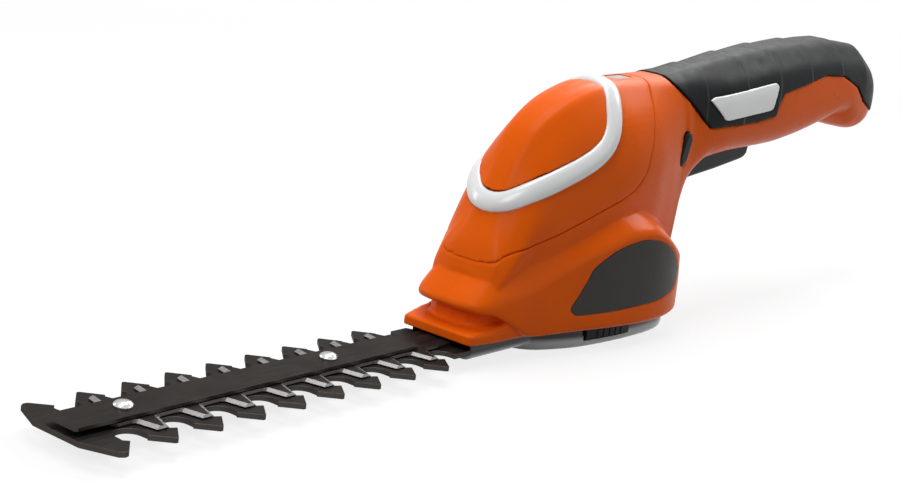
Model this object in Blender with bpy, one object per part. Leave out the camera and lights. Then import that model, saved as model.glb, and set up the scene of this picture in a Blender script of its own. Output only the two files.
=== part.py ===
"""Cordless shrub shears, built as an assembly of separate pieces.

Every size below is in millimetres, and MM turns it into metres as a mesh is made. The resting face is
at Z = 0, the drive gear turns about the Z axis, and the blade points along -X. The left side is -Y.
"""

from math import acos, cos, pi, radians, sin, tan

import bmesh
import bpy
from mathutils import Matrix, Vector

MM = 0.001
LEFT, RIGHT = -1, 1

# Blade stack
PITCH = 20.0
TEETH = 8
FIRST_TOOTH = -240.0
COMB_BOTTOM, COMB_TOP = 6.0, 8.0
CUTTER_BOTTOM, CUTTER_TOP = 8.25, 9.45
BAR_BOTTOM, BAR_TOP = 9.7, 11.1
BAR_FRONT, BAR_REAR, BAR_HALF = -261.0, -91.0, 7.8
RIVETS = (-235.0, -135.0)
RIVET_SHANK = 2.5
STROKE = 12.0

# Drive
CRANK = STROKE / 2
GEAR_TEETH, PINION_TEETH, MODULE = 50, 10, 0.9
GEAR_BOTTOM, GEAR_TOP = 15.8, 22.0
MOTOR_X = MODULE * (GEAR_TEETH + PINION_TEETH) / 2
MOTOR_RADIUS, MOTOR_BOTTOM, MOTOR_TOP = 17.9, 27.2, 72.0
PLATE_BOTTOM, PLATE_TOP = 24.2, 26.9
CRANK_PIN, ROLLER = 2.0, 4.0
AXLE = 2.5
ROLLER_PLAY = 1.35
SEATED = 0.15

# Housing
WALL = 2.5
GAP = 0.15
SEAM = 0.3
BODY_FRONT, BODY_REAR = -59.0, 273.0
HOUSING_SCREWS = [(-46, 24), (66, 24), (60, 100), (97, 90), (158, 84), (234, 91)]
SCREW_SHANK, SCREW_HEAD, SCREW_SEAT, SCREW_TIP = 1.5, 2.8, 8.1, -9.0

# Handle
CELL_RADIUS, CELL_LENGTH, CELL_Z, CELL_FRONT = 9.1, 64.8, 105.8, 110.0
SOCKET_Z, SOCKET_RADIUS, JACK_RADIUS = 97.0, 5.5, 3.2
TRIGGER_PIN = (91.0, 74.0)
TRIGGER_HALF = 8.0
SWITCH_LOW, SWITCH_HIGH = (106, -7.5, 87.5), (134, 7.5, 96.3)
PLUNGER_X = 120.0
LOCK_CENTRE = (71.5, 81.0)

# Side view of the head, neck and handle: (x, height) along the top and the underside
TOP = [
    (-59, 36), (-56, 46), (-50, 58), (-44.5, 70.5), (-38, 83), (-30, 93.6), (-20, 100.6), (-8, 105.8),
    (10, 110.3), (25, 111.9), (45, 112.4), (62, 112.8), (80, 113.9), (98, 116.4), (130, 120.5),
    (167, 123.8), (210, 125.3), (240, 124), (257, 118.5), (267, 110), (272, 100), (273, 95),
]
UNDERSIDE = [
    (-59, 12), (71, 12), (74, 40), (76.2, 50), (80, 59.8), (88, 67.3), (99, 72), (120, 74.3),
    (160, 75.8), (180, 78.2), (200, 82), (216, 86), (226, 88.3), (231, 88.2), (238, 84),
    (246, 79.5), (254, 77.8), (262, 79), (268, 83), (272, 89), (273, 91),
]
# Plan view: the widest half width, and half the width of the top face
HALF_WIDTH = [
    (-59, 13.2), (-58.2, 15.6), (-56, 17.4), (-50, 19), (-42, 20.4), (-20, 23.2), (0, 25.5), (20, 26.5),
    (40, 25.3), (58, 21.8), (72, 18.6), (80, 17.6), (90, 18), (110, 19.2), (160, 19.8), (230, 19.5),
    (254, 17.5), (266, 14), (273, 7),
]
CREST = [
    (-59, 11), (-57, 13.4), (-54.5, 13), (-51, 11.2), (-46.5, 9), (-42, 8), (-30, 8.8), (-15, 10.2), (0, 11),
    (20, 11.6), (60, 12), (100, 11.5), (240, 12), (262, 9), (273, 4),
]
CREST_DROP = [(-59, 3), (-50, 3.5), (-30, 3.6), (20, 4), (60, 5), (90, 5), (240, 6), (262, 4), (273, 1.5)]
BELLY = [(-59, 46), (-47, 51), (-25, 57), (0, 64), (25, 72), (50, 76), (75, 82), (110, 100), (273, 103)]
# The width low on the side wall, as a share of the widest
WAIST = [
    (-59, 0.62), (-50, 0.64), (-42, 0.71), (-30, 0.8), (20, 0.82), (50, 0.86), (66, 0.93), (80, 0.97),
    (273, 0.97),
]

# Places along X of the body's sections, outside and within
BODY_STATIONS = (
    -58.2, -56, -52.5, -49, -44, -37, -29, -20, -10, 2, 16, 32, 50, 66, 74, 77.5, 80,
    84, 91, 103, 128, 160, 196, 214, 226, 232, 240, 248, 256, 263, 268.5, 271.7,
)
INNER_STATIONS = (
    -54, -48, -38, -24, -4, 27, 60, 74, 80, 88, 101, 130, 200, 226, 234, 248, 261, 268,
)

# Skirt: its plan from nose to tail, its lower edge, the height of its shoulder and the rise behind it
SKIRT_PLAN = [
    (-69, 0), (-68.7, 8), (-66.2, 15.2), (-60, 19.4), (-48, 22.2), (-32, 24.4), (-12, 28.4), (10, 33.3),
    (32, 36.3), (51, 34.8), (67, 28), (77.5, 15), (79.5, 0),
]
# The plan of the crown that the shoulder rises to, point by point with the skirt's, just inside the body
CROWN_PLAN = [
    (-57.5, 0), (-57.4, 7.4), (-56.5, 11.5), (-52.9, 15.1), (-44.8, 17.8), (-31, 19.6), (-12, 21.7), (8, 23.4),
    (26, 23.8), (42, 22.4), (56, 19.4), (67, 12), (70, 0),
]
SKIRT_EDGE = [(-69, 22.5), (-60, 21.5), (-50, 17), (-38, 10.5), (-30, 10), (79.5, 10)]
SHOULDER = [
    (-69, 27.6), (-63.5, 28.2), (-55, 29), (-45, 30.4), (-34.4, 33.2), (-23.8, 37.7), (-13.3, 42.1),
    (-3.2, 45.9), (7.2, 49.3), (19.6, 52.3), (30.2, 52.2), (42, 48.5), (55, 42), (66, 37), (79.5, 34),
]
CROWN_HEIGHT = [
    (-59, 34.1), (-55.7, 36.9), (-47, 38.8), (-35.8, 42), (-24.3, 45.2), (-12.5, 48.9), (0, 53.5),
    (14, 58), (26, 59), (40, 56), (55, 49), (71, 42),
]


def along(points, x):
    """Height at x of a smooth curve through the points that never overshoots them."""
    last = len(points) - 1
    if x <= points[0][0]:
        return points[0][1]
    if x >= points[last][0]:
        return points[last][1]
    k = max(i for i in range(last) if points[i][0] <= x)

    def chord(i):
        return (points[i + 1][1] - points[i][1]) / (points[i + 1][0] - points[i][0])

    def slope(i):
        if i == 0:
            return chord(0)
        if i == last:
            return chord(last - 1)
        before, after = chord(i - 1), chord(i)
        return 0 if before * after <= 0 else 2 * before * after / (before + after)

    step = points[k + 1][0] - points[k][0]
    t = (x - points[k][0]) / step
    return (
        (1 + 2 * t) * (1 - t) ** 2 * points[k][1]
        + t * (1 - t) ** 2 * step * slope(k)
        + t * t * (3 - 2 * t) * points[k + 1][1]
        - t * t * (1 - t) * step * slope(k + 1)
    )


def moved(points, x, grow, outward=1):
    """Height at x of the same curve moved by grow along its normal, where outward is up or down."""
    if not grow:
        return along(points, x)
    reach = abs(grow)
    offsets = [reach * cos(pi * i / 8) for i in range(9)]
    heights = [outward * along(points, x + d) + (reach**2 - d**2 if d**2 < reach**2 else 0) ** 0.5
               * (1 if grow > 0 else -1) for d in offsets]
    return outward * (max(heights) if grow > 0 else min(heights))


def spline(points, steps, closed=False):
    """Points of a smooth curve through the given ones."""
    count = len(points)
    found = []
    for i in range(count if closed else count - 1):
        a, b, c, d = (points[(i + k) % count] if closed else points[min(max(i + k, 0), count - 1)]
                      for k in (-1, 0, 1, 2))
        for step in range(steps):
            t = step / steps
            found.append(tuple(
                0.5 * (2 * q + (r - p) * t + (2 * p - 5 * q + 4 * r - s) * t**2
                       + (3 * q - p - 3 * r + s) * t**3)
                for p, q, r, s in zip(a, b, c, d)))
    if not closed:
        found.append(tuple(points[-1]))
    return found


def half_section(x, grow=0.0, steps=2):
    """(y, z) of the body's outline at x, from the top down one side to the underside."""
    top = moved(TOP, x, grow)
    bottom = moved(UNDERSIDE, x, grow, -1)
    wide = moved(HALF_WIDTH, x, grow)
    crest = min(moved(CREST, x, grow), 0.8 * wide)
    shoulder = top - along(CREST_DROP, x)
    belly = min(along(BELLY, x), bottom + 0.62 * (shoulder - bottom))
    side = [
        (0, top),
        (0.55 * crest, top - 0.12 * along(CREST_DROP, x)),
        (crest, shoulder),
        (crest + 0.68 * (wide - crest), shoulder - 0.4 * (shoulder - belly)),
        (wide, belly),
        (along(WAIST, x) * wide, belly - 0.65 * (belly - bottom)),
        (0.62 * wide, bottom + 0.05 * (belly - bottom)),
        (0, bottom),
    ]
    # The neighbours past each end are the mirrored ones, so the outline crosses the middle level
    ends = [(-side[1][0], side[1][1])] + side + [(-side[-2][0], side[-2][1])]
    return spline(ends, steps)[steps:-steps]


def material(name, colour, roughness, metallic=0.0):
    """A plain Principled material, made once for each name."""
    if name in bpy.data.materials:
        return bpy.data.materials[name]
    made = bpy.data.materials.new(name)
    made.use_nodes = True
    shader = made.node_tree.nodes["Principled BSDF"]
    shader.inputs["Base Color"].default_value = (*colour, 1)
    shader.inputs["Roughness"].default_value = roughness
    shader.inputs["Metallic"].default_value = metallic
    made.diffuse_color = (*colour, 1)
    return made


FINISHES = {
    "orange_plastic": ((0.80, 0.115, 0.012), 0.35, 0),
    "white_plastic": ((0.80, 0.81, 0.82), 0.3, 0),
    "black_rubber": ((0.018, 0.020, 0.022), 0.6, 0),
    "gloss_black": ((0.012, 0.013, 0.015), 0.15, 0),
    "grey_plastic": ((0.055, 0.053, 0.05), 0.5, 0),
    "dark_steel": ((0.085, 0.08, 0.078), 0.45, 0.8),
    "bright_steel": ((0.62, 0.62, 0.61), 0.22, 1),
    "gear_steel": ((0.42, 0.41, 0.39), 0.35, 1),
    "copper_alloy": ((0.55, 0.30, 0.12), 0.35, 1),
    "cell_wrap": ((0.02, 0.12, 0.30), 0.4, 0),
    "board_green": ((0.01, 0.12, 0.05), 0.45, 0),
    "smoked_lens": ((0.35, 0.33, 0.32), 0.15, 0),
}


def finish(bm, name, finish_name, origin=(0, 0, 0), smooth=35):
    """Turns a bmesh in millimetres into an object in metres whose origin is at the given point."""
    bmesh.ops.remove_doubles(bm, verts=bm.verts, dist=1e-4)
    bmesh.ops.triangulate(bm, faces=bm.faces, quad_method="FIXED", ngon_method="BEAUTY")
    bmesh.ops.recalc_face_normals(bm, faces=bm.faces)
    bmesh.ops.translate(bm, vec=-Vector(origin), verts=bm.verts)
    bmesh.ops.scale(bm, vec=(MM, MM, MM), verts=bm.verts)
    mesh = bpy.data.meshes.new(name)
    bm.to_mesh(mesh)
    bm.free()
    mesh.shade_smooth()
    mesh.set_sharp_from_angle(angle=radians(smooth))
    obj = bpy.data.objects.new(name, mesh)
    obj.location = Vector(origin) * MM
    bpy.context.scene.collection.objects.link(obj)
    if finish_name:
        mesh.materials.append(material(finish_name, *FINISHES[finish_name]))
    else:
        obj.hide_render = True
        obj.display_type = "WIRE"
    return obj


def helper(bm, name):
    """A cutter or other guide, which is no piece of the object."""
    return finish(bm, name, None)


def boolean(obj, tool, operation="DIFFERENCE"):
    """Cuts a piece with a tool, joins it to one or keeps what they share."""
    step = obj.modifiers.new(tool.name, "BOOLEAN")
    step.operation = operation
    step.object = tool
    step.solver = "EXACT"
    return obj


def cut(obj, *tools):
    for tool in tools:
        boolean(obj, tool)
    return obj


def join(obj, *tools):
    for tool in tools:
        boolean(obj, tool, "UNION")
    return obj


def keep(obj, tool):
    return boolean(obj, tool, "INTERSECT")


def flattened(obj, angle=0.3):
    """Joins the faces that lie in one plane, or turn from it by less than the angle."""
    step = obj.modifiers.new("flattened", "DECIMATE")
    step.decimate_type = "DISSOLVE"
    step.angle_limit = radians(angle)
    return obj


def loft(rings, ridged=False):
    """A solid through the rings, made by drawing its end face on from each ring to the next.

    A ridged one starts and ends at a line instead of a face.
    """
    bm = bmesh.new()
    start = end = bm.faces.new([bm.verts.new(point) for point in rings[0]])
    for i, ring in enumerate(rings[1:]):
        made = bmesh.ops.extrude_face_region(bm, geom=[end], use_keep_orig=True)
        if i:
            bmesh.ops.delete(bm, geom=[end], context="FACES_ONLY")
        end = next(part for part in made["geom"] if isinstance(part, bmesh.types.BMFace))
        for vertex, point in zip(end.verts, ring):
            vertex.co = point
    if ridged:
        bmesh.ops.delete(bm, geom=[start, end], context="FACES_ONLY")
        bmesh.ops.remove_doubles(bm, verts=bm.verts, dist=1e-4)
    return bm


def plate(outline, bottom, top):
    """A flat plate whose plan is the outline."""
    return loft([[(x, y, z) for x, y in outline] for z in (bottom, top)])


def side_prism(outline, low, high):
    """A prism whose side view is the outline, from y = low to y = high."""
    return loft([[(x, y, z) for x, z in outline] for y in (low, high)])


def round_bar(radius, start, end, sides=16, radius_end=None):
    """A round bar or cone between two points."""
    start, end = Vector(start), Vector(end)
    bm = bmesh.new()
    bmesh.ops.create_cone(
        bm, cap_ends=True, segments=sides, radius1=radius,
        radius2=radius if radius_end is None else radius_end, depth=(end - start).length)
    turn = (end - start).to_track_quat("Z", "Y").to_matrix().to_4x4()
    bmesh.ops.transform(bm, matrix=Matrix.Translation((start + end) / 2) @ turn, verts=bm.verts)
    return bm


def block(low, high):
    """A box between two corners."""
    bm = bmesh.new()
    bmesh.ops.create_cube(bm, size=1)
    size = [b - a for a, b in zip(low, high)]
    middle = [(a + b) / 2 for a, b in zip(low, high)]
    bmesh.ops.scale(bm, vec=size, verts=bm.verts)
    bmesh.ops.translate(bm, vec=middle, verts=bm.verts)
    return bm


def turned(profile, axis_point, axis=(0, 0, 1), sides=16):
    """A solid or ring of revolution: profile is (radius, distance along the axis), a closed outline."""
    bm = bmesh.new()
    points = [bm.verts.new((radius, 0, height)) for radius, height in profile]
    edges = [bm.edges.new(pair) for pair in zip(points, points[1:] + points[:1])]
    bmesh.ops.spin(
        bm, geom=points + edges, cent=(0, 0, 0), axis=(0, 0, 1), angle=2 * pi, steps=sides,
        use_merge=True, use_duplicate=False)
    bmesh.ops.remove_doubles(bm, verts=bm.verts, dist=1e-4)
    bmesh.ops.delete(bm, geom=[edge for edge in bm.edges if not edge.link_faces], context="EDGES")
    turn = Vector(axis).to_track_quat("Z", "Y").to_matrix().to_4x4()
    bmesh.ops.transform(bm, matrix=Matrix.Translation(axis_point) @ turn, verts=bm.verts)
    return bm


def together(*forms):
    """One mesh that holds several forms, which don't touch each other."""
    whole = forms[0]
    for form in forms[1:]:
        spare = bpy.data.meshes.new("spare")
        form.to_mesh(spare)
        form.free()
        whole.from_mesh(spare)
        bpy.data.meshes.remove(spare)
    return whole


def shifted(path, distance):
    """An open path in a plane, moved to its left by the distance."""
    found = []
    for i, (x, y) in enumerate(path):
        before, after = path[max(i - 1, 0)], path[min(i + 1, len(path) - 1)]
        run = Vector((after[0] - before[0], after[1] - before[1])).normalized()
        found.append((x - run.y * distance, y + run.x * distance))
    return found


def body_loft(grow=0.0, steps=2, span=(BODY_FRONT, BODY_REAR), stations=BODY_STATIONS):
    """The head, neck and handle as one form, or a length of it."""
    front = span[0] - grow if span[0] == BODY_FRONT else span[0]
    rear = span[1] + grow if span[1] == BODY_REAR else span[1]
    rings = []
    for x in (front, *(x for x in stations if front + 0.5 < x < rear - 0.5), rear):
        section = half_section(x, grow, steps)
        rings.append([(x, y, z) for y, z in section] + [(x, -y, z) for y, z in section[-2:0:-1]])
    return loft(rings)


def inner_loft(depth, span=(BODY_FRONT, BODY_REAR)):
    """A plainer form of the body, at a depth inside its skin."""
    return body_loft(-depth, 1, span, INNER_STATIONS)


def plan_curve(points, steps=2):
    """A half plan from nose to tail, which crosses the middle square to it."""
    ends = [(points[1][0], -points[1][1])] + list(points) + [(points[-2][0], -points[-2][1])]
    return spline(ends, steps)[steps:-steps]


def drawn_in(curve, inset):
    """The half plan moved inwards by the inset."""
    found = []
    for i, (x, y) in enumerate(curve):
        before = curve[i - 1] if i else (curve[1][0], -curve[1][1])
        after = curve[i + 1] if i + 1 < len(curve) else (curve[-2][0], -curve[-2][1])
        run = Vector((after[0] - before[0], after[1] - before[1])).normalized()
        found.append((x + run.y * inset, max(y - run.x * inset, 0)))
    return found


def full_plan(curve):
    """Both sides of a half plan that starts and ends on the middle line."""
    return list(curve) + [(x, -y) for x, y in curve[-2:0:-1]]


def skirt_loft(inset=0.0, open_below=False):
    """The wide foot of the housing, whose shoulder sweeps up towards the rear."""
    steps = 1 if inset else 2
    plan = drawn_in(plan_curve(SKIRT_PLAN, steps), inset)
    crown_plan = drawn_in(plan_curve(CROWN_PLAN, steps), inset)

    def edge(x):
        return along(SKIRT_EDGE, x)

    def shoulder(x):
        return along(SHOULDER, x) - inset

    def crown(x):
        return along(CROWN_HEIGHT, x) - inset

    def ring(share, height):
        """Rim a share of the way from the skirt's plan to the crown's, both as heights over x."""
        rim = [(x + share * (u - x), y + share * (v - y), height(x, u))
               for (x, y), (u, v) in zip(plan, crown_plan)]
        return rim + [(x, -y, z) for x, y, z in rim[-2:0:-1]]

    def folded(rim):
        """The ring laid on the middle plane, where the form closes along a line."""
        return [(x, 0, z) for x, _, z in rim]

    def wall(x, share, above):
        """A height a share of the way up the wall, but no further from its end than the given distance."""
        tall = shoulder(x) - edge(x)
        if above < 0:
            return shoulder(x) - min((1 - share) * tall, -above)
        return edge(x) + min(share * tall, above)

    def slope(share):
        """Height of the top, which rises evenly from the shoulder to the crown and on inside the body."""
        start = 0.12
        return lambda x, u: shoulder(x) + (start + (1 - start) * (share - 0.3) / 0.7) * (crown(u) - shoulder(x))

    foot = ring(0, lambda x, u: 2.0) if open_below else ring(0.1, lambda x, u: edge(x))
    top = ring(1.3, slope(1.3))
    return loft([
        folded(foot),
        foot,
        ring(0, lambda x, u: wall(x, 0.25, 1.5)),
        ring(0.02, lambda x, u: wall(x, 0.5, 100)),
        ring(0.08, lambda x, u: wall(x, 0.7, -2.6)),
        ring(0.17, lambda x, u: wall(x, 0.9, -0.6)),
        ring(0.3, slope(0.3)),
        top,
        folded(top),
    ], ridged=True)


LIP_FRONT, LIP_REAR = -71.5, -34.0
LIP_PLAN = [(-71.5, 16.6), (-70.4, 17.8), (-58, 20), (-34, 21.2)]


def lip_forms():
    """The nose plate over the blade's exit, and the waist between it and the skirt."""
    half = [(LIP_FRONT, 0)] + LIP_PLAN + [(LIP_REAR, 0)]

    def ring(scale, height):
        return [(x, y * scale, height(x)) for x, y in full_plan(half)]

    lip = loft([ring(1, lambda x: 10), ring(1, lambda x: 13.4),
                ring(0.96, lambda x: 14.2 + 4.3 * (x - LIP_FRONT) / (LIP_REAR - LIP_FRONT))])
    waist = plate(full_plan([(-63.5, 0), (-63, 8), (-60, 13), (-50, 16), (-30, 17.5), (-30, 0)]), 12, 26)
    return lip, waist


def comb_outline():
    """Half of the fixed comb's plan, from the tip to the tongue, and then its mirror image."""
    gap_radius, gap_centre = 5.13, 14.4

    def gap(x):
        """The round root between two teeth, centred at x."""
        return [(x - gap_radius * cos(pi * i / 5), gap_centre - gap_radius * sin(pi * i / 5))
                for i in range(6)]

    tip = FIRST_TOOTH
    half = [(tip - 22.7, 11.5), (tip - 17.4, 24.6), (tip - 15.6, 25.8), (tip - 13.9, 25.4),
            (tip - 8.0, 19.0), (tip - 9.8, 17.4)]
    half += gap(tip - 4.45)
    for k in range(TEETH):
        x = FIRST_TOOTH + k * PITCH
        half += [(x + 0.9, 17.7), (x, 18.2), (x + 6.2, 25.2), (x + 7.2, 25.2), (x + 13, 18.2), (x + 10.7, 17)]
        half += gap(x + 15.78)
    shoulder = FIRST_TOOTH + TEETH * PITCH + 1
    half += [(shoulder, 17), (-69.5, 17), (-67.5, 13), (-24, 13)]
    return half + [(x, -y) for x, y in reversed(half)]


def lower_comb():
    """The fixed plate with blunt guard teeth."""
    comb = finish(plate(comb_outline(), COMB_BOTTOM, COMB_TOP), "lower_comb", "dark_steel")
    holes = [round_bar(RIVET_SHANK + SEATED, (x, 0, COMB_BOTTOM - 1), (x, 0, COMB_TOP + 1), 12)
             for x in RIVETS]
    holes += [round_bar(1.15, (COMB_SCREW[0], side * COMB_SCREW[1], COMB_BOTTOM - 1),
                        (COMB_SCREW[0], side * COMB_SCREW[1], COMB_TOP + 1), 12) for side in (LEFT, RIGHT)]
    return flattened(cut(comb, helper(together(*holes), "comb_holes")))


CUTTER_FRONT, CUTTER_ROOT = -246.0, 8.5
YOKE_HALF, YOKE_REAR = 15.0, 17.0


def cutter_rings():
    """The cutter's plan at its cutting face, and the narrower one left on top by the ground bevels."""
    grind = 1.75
    face, crown = [(CUTTER_FRONT, 6.5), (CUTTER_FRONT + 2, CUTTER_ROOT)], []
    crown += face
    for k in range(TEETH):
        x = FIRST_TOOTH + k * PITCH
        face += [(x + 1.6, CUTTER_ROOT), (x + 2.9, CUTTER_ROOT + 0.7), (x + 4.8, 17.4), (x + 9.8, 17.4),
                 (x + 12.9, CUTTER_ROOT + 0.7), (x + 14.2, CUTTER_ROOT)]
        crown += [(x + 1.6 + grind, CUTTER_ROOT - 0.5), (x + 2.9 + grind, CUTTER_ROOT),
                  (x + 4.8 + grind, 17.0), (x + 9.8 - grind, 17.0),
                  (x + 12.9 - grind, CUTTER_ROOT), (x + 14.2 - grind, CUTTER_ROOT - 0.5)]
    yoke_front = CRANK - ROLLER - ROLLER_PLAY - 5
    rear = [(-80, CUTTER_ROOT), (yoke_front - 8, CUTTER_ROOT), (yoke_front, YOKE_HALF),
            (YOKE_REAR, YOKE_HALF)]
    face += rear
    crown += rear
    return [half + [(x, -y) for x, y in reversed(half)] for half in (face, crown)]


def cutter_blade():
    """The moving plate: ground teeth, a slot for each rivet and a cross slot for the crank roller."""
    face, crown = cutter_rings()
    bm = loft([
        [(x, y, CUTTER_BOTTOM) for x, y in face],
        [(x, y, CUTTER_BOTTOM + 0.3) for x, y in face],
        [(x, y, CUTTER_TOP) for x, y in crown],
    ])
    cutter = finish(bm, "cutter_blade", "dark_steel")
    play = RIVET_SHANK + 0.3
    for i, x in enumerate(RIVETS):
        slot = [(x - play, -play), (x + STROKE + play, -play), (x + STROKE + play, play), (x - play, play)]
        cut(cutter, helper(plate(slot, 7.5, 10.5), f"rivet_slot_{i}"))
    half, reach = ROLLER + ROLLER_PLAY, CRANK + ROLLER + 0.5
    yoke = [(CRANK - half, -reach), (CRANK + half, -reach), (CRANK + half, reach), (CRANK - half, reach)]
    return flattened(cut(cutter, helper(plate(yoke, 7.5, 10.5), "yoke_slot")))


def support_bar():
    """The fixed top bar, which holds the cutter down on the comb."""
    trim = 0.8
    outline = [(BAR_FRONT, -BAR_HALF + trim), (BAR_FRONT + trim, -BAR_HALF), (BAR_REAR, -BAR_HALF),
               (BAR_REAR, BAR_HALF), (BAR_FRONT + trim, BAR_HALF), (BAR_FRONT, BAR_HALF - trim)]
    bm = loft([
        [(x, y, BAR_BOTTOM) for x, y in outline],
        [(x, y, BAR_TOP - 0.35) for x, y in outline],
        [(x + (0.35 if x < -150 else -0.35), y * 0.955, BAR_TOP) for x, y in outline],
    ])
    bar = finish(bm, "support_bar", "dark_steel")
    for i, x in enumerate(RIVETS):
        hole = round_bar(RIVET_SHANK + SEATED, (x, 0, BAR_BOTTOM - 1), (x, 0, BAR_TOP + 1), 12)
        cut(bar, helper(hole, f"bar_hole_{i}"))
    return flattened(bar)


def rivet(name, x):
    """A shouldered rivet: domed head, shank through all three plates, and a flat head below."""
    head, dome = 3.6, 2.3
    profile = [(0, COMB_BOTTOM - 1.3), (3.4, COMB_BOTTOM - 1.3), (3.4, COMB_BOTTOM - 0.05),
               (RIVET_SHANK, COMB_BOTTOM - 0.05), (RIVET_SHANK, BAR_TOP + 0.05), (head, BAR_TOP + 0.05),
               (head, BAR_TOP + 0.5)]
    profile += [(head * cos(pi / 2 * i / 3), BAR_TOP + 0.5 + (dome - 0.5) * sin(pi / 2 * i / 3))
                for i in range(1, 3)]
    profile.append((0, BAR_TOP + dome))
    return finish(turned(profile, (x, 0, 0), sides=12), name, "bright_steel")


CASSETTE_PLAN = [
    (-33, 0), (-31.5, 8), (-26, 15.5), (-16, 20.5), (0, 25), (25, 27.5), (48, 27.5), (63, 24.5),
    (74, 15), (77, 0),
]
CASSETTE_TOP = 11.6
FLOOR = 2.5
LATCH_X = (6.0, 24.0)
COMB_SCREW = (-45.0, 10.9)


def blade_cassette():
    """The glossy base under the housing: a tray with a round rim, and the block that grips the comb."""
    plan = plan_curve(CASSETTE_PLAN)

    def ring(inset, z):
        return [(x, y, z) for x, y in full_plan(drawn_in(plan, inset))]

    tray = finish(loft([ring(2.8, 0), ring(1.1, 0.5), ring(0.2, 1.9), ring(0, 3.5), ring(0.4, 7),
                        ring(1.0, CASSETTE_TOP)]), "blade_cassette", "gloss_black")
    flange_plan = [(x, y) for x, y in drawn_in(plan_curve(SKIRT_PLAN), 3.6) if -30 < x and 1 < y]
    flange = [(x, -y) for x, y in flange_plan] + [(x, y) for x, y in reversed(flange_plan)]
    block_plan = [(-68, -14.4), (-67, -15.4), (-22, -15.4), (-22, 15.4), (-67, 15.4), (-68, 14.4)]
    join(tray, helper(plate(flange, 10.3, CASSETTE_TOP), "cassette_flange"),
         helper(loft([[(x, 0.93 * y, 3.0) for x, y in block_plan], [(x, y, 4.2) for x, y in block_plan],
                      [(x, y, 9.6) for x, y in block_plan]]), "cassette_block"))
    cut(tray, helper(loft([ring(2.7, FLOOR), ring(2.7, CASSETTE_TOP + 1)]), "cassette_hollow"),
        helper(block((-75, -13.4, COMB_BOTTOM - SEAM), (-20, 13.4, 12)), "comb_channel"),
        helper(block((-75, -17.4, COMB_BOTTOM - SEAM), (-67.2, 17.4, 12)), "comb_shoulder"))
    mouths = [block((0, side * 27 - 7, 3.3), (30, side * 27 + 7, 9.7)) for side in (LEFT, RIGHT)]
    notches = [block((LATCH_X[0] - 2, side * 30 - 10.6, 9), (LATCH_X[1] + 2, side * 30 + 10.6, 13))
               for side in (LEFT, RIGHT)]
    threads = [round_bar(1.15, (COMB_SCREW[0], side * COMB_SCREW[1], 3.7),
                         (COMB_SCREW[0], side * COMB_SCREW[1], 7), 12) for side in (LEFT, RIGHT)]
    cut(tray, helper(together(*mouths), "button_mouths"), helper(together(*notches), "latch_notches"),
        helper(together(*threads), "comb_screw_threads"))
    return flattened(tray)


def comb_screw(side, name):
    """A small screw that holds the comb's tongue down in the cassette."""
    profile = [(0, 3.9), (1.0, 3.9), (1.0, COMB_TOP + 0.05), (1.9, COMB_TOP + 0.05), (1.9, COMB_TOP + 1.0),
               (1.5, COMB_TOP + 1.3), (0, COMB_TOP + 1.3)]
    return finish(turned(profile, (COMB_SCREW[0], side * COMB_SCREW[1], 0), sides=10), name, "bright_steel")


def release_button(side, name):
    """A pad in the cassette's wall, with the latch arm that hooks over a ledge of the housing."""
    plan = [(x, along(CASSETTE_PLAN, x) + 1.0) for x in (0.4, 8, 15, 22, 29.6)]
    pad = [(0.4, 22.5)] + plan + [(29.6, 22.5)]
    button = finish(plate([(x, side * y) for x, y in pad], 3.7, 9.3), name, "grey_plastic")
    arm = sorted((side * 22.8, side * 24.8))
    hook = sorted((side * 24.0, side * 28.3))
    return join(
        button,
        helper(block((LATCH_X[0] + 1, arm[0], 8), (LATCH_X[1] - 1, arm[1], 15.2)), name + "_arm"),
        helper(block((LATCH_X[0] + 2, hook[0], 13.4), (LATCH_X[1] - 2, hook[1], 14.9)), name + "_hook"))


SEAM_LINE = [
    (-75, 36.5), (-59, 39), (-53.5, 44), (-47.4, 47), (-36.9, 49.6), (-25.2, 52.4), (-13.3, 56.2),
    (-1, 60.3), (11, 63.8), (21.6, 68), (29, 74.8), (33.8, 84), (37.8, 92), (41.6, 100),
    (45, 108), (48.6, 116), (52.6, 130),
]
COVER_WALL = 3.4
TONGUE = (2.85, 4.0)
BAND_PATH = [
    (-75, 58.2), (-58, 63.6), (-47, 67.2), (-42.5, 69), (-36.2, 71.6), (-25.8, 75.6), (-14, 79.6),
    (-4, 83.8), (3, 88.3), (8, 94.5), (11.8, 102), (14.5, 106.5), (17.5, 111), (20.5, 118), (24, 130),
]
BAND_HALF, BAND_DEPTH, BAND_RISE = 4.8, 1.3, 1.7
BAND_BED, DOME_BED = 1.6, 2.0
DOME_RISE, DOME_BACK = 0.6, 1.7
SMILE, SMILE_HALF = 4.0, 15.0


def ahead_of(path):
    """The side view of everything above and in front of a path that runs from low front to high rear."""
    return list(path) + [(path[-1][0], 140), (-90, 140), (-90, path[0][1])]


def smile(x, y):
    """How far the band and its edges dip across the nose."""
    share = min(max((-20 - x) / 20, 0), 1)
    return share * SMILE * max(0, 1 - (y / SMILE_HALF) ** 2)


def dipped_prism(outline):
    """A prism along Y whose outline dips across the nose as the band does."""
    levels = (-60, -14, -11, -7, -3.5, 0, 3.5, 7, 11, 14, 60)
    return loft([[(x, y, z - smile(x, y)) for x, z in outline] for y in levels])


def skin_point(x, place):
    """A point of the body's skin at x: place counts along its half section from the top."""
    section = half_section(x, 0, 8)
    side = -1 if place < 0 else 1
    place = abs(place)
    i = min(int(place), len(section) - 2)
    t = place - i
    y, z = (a + (b - a) * t for a, b in zip(section[i], section[i + 1]))
    return Vector((x, side * y, z))


def place_at(x, height):
    """Where the half section at x has the height, or None above its top."""
    section = half_section(x, 0, 8)
    for i in range(len(section) // 2):
        if section[i + 1][1] <= height <= section[i][1]:
            return i + (section[i][1] - height) / (section[i][1] - section[i + 1][1])
    return None


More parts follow.
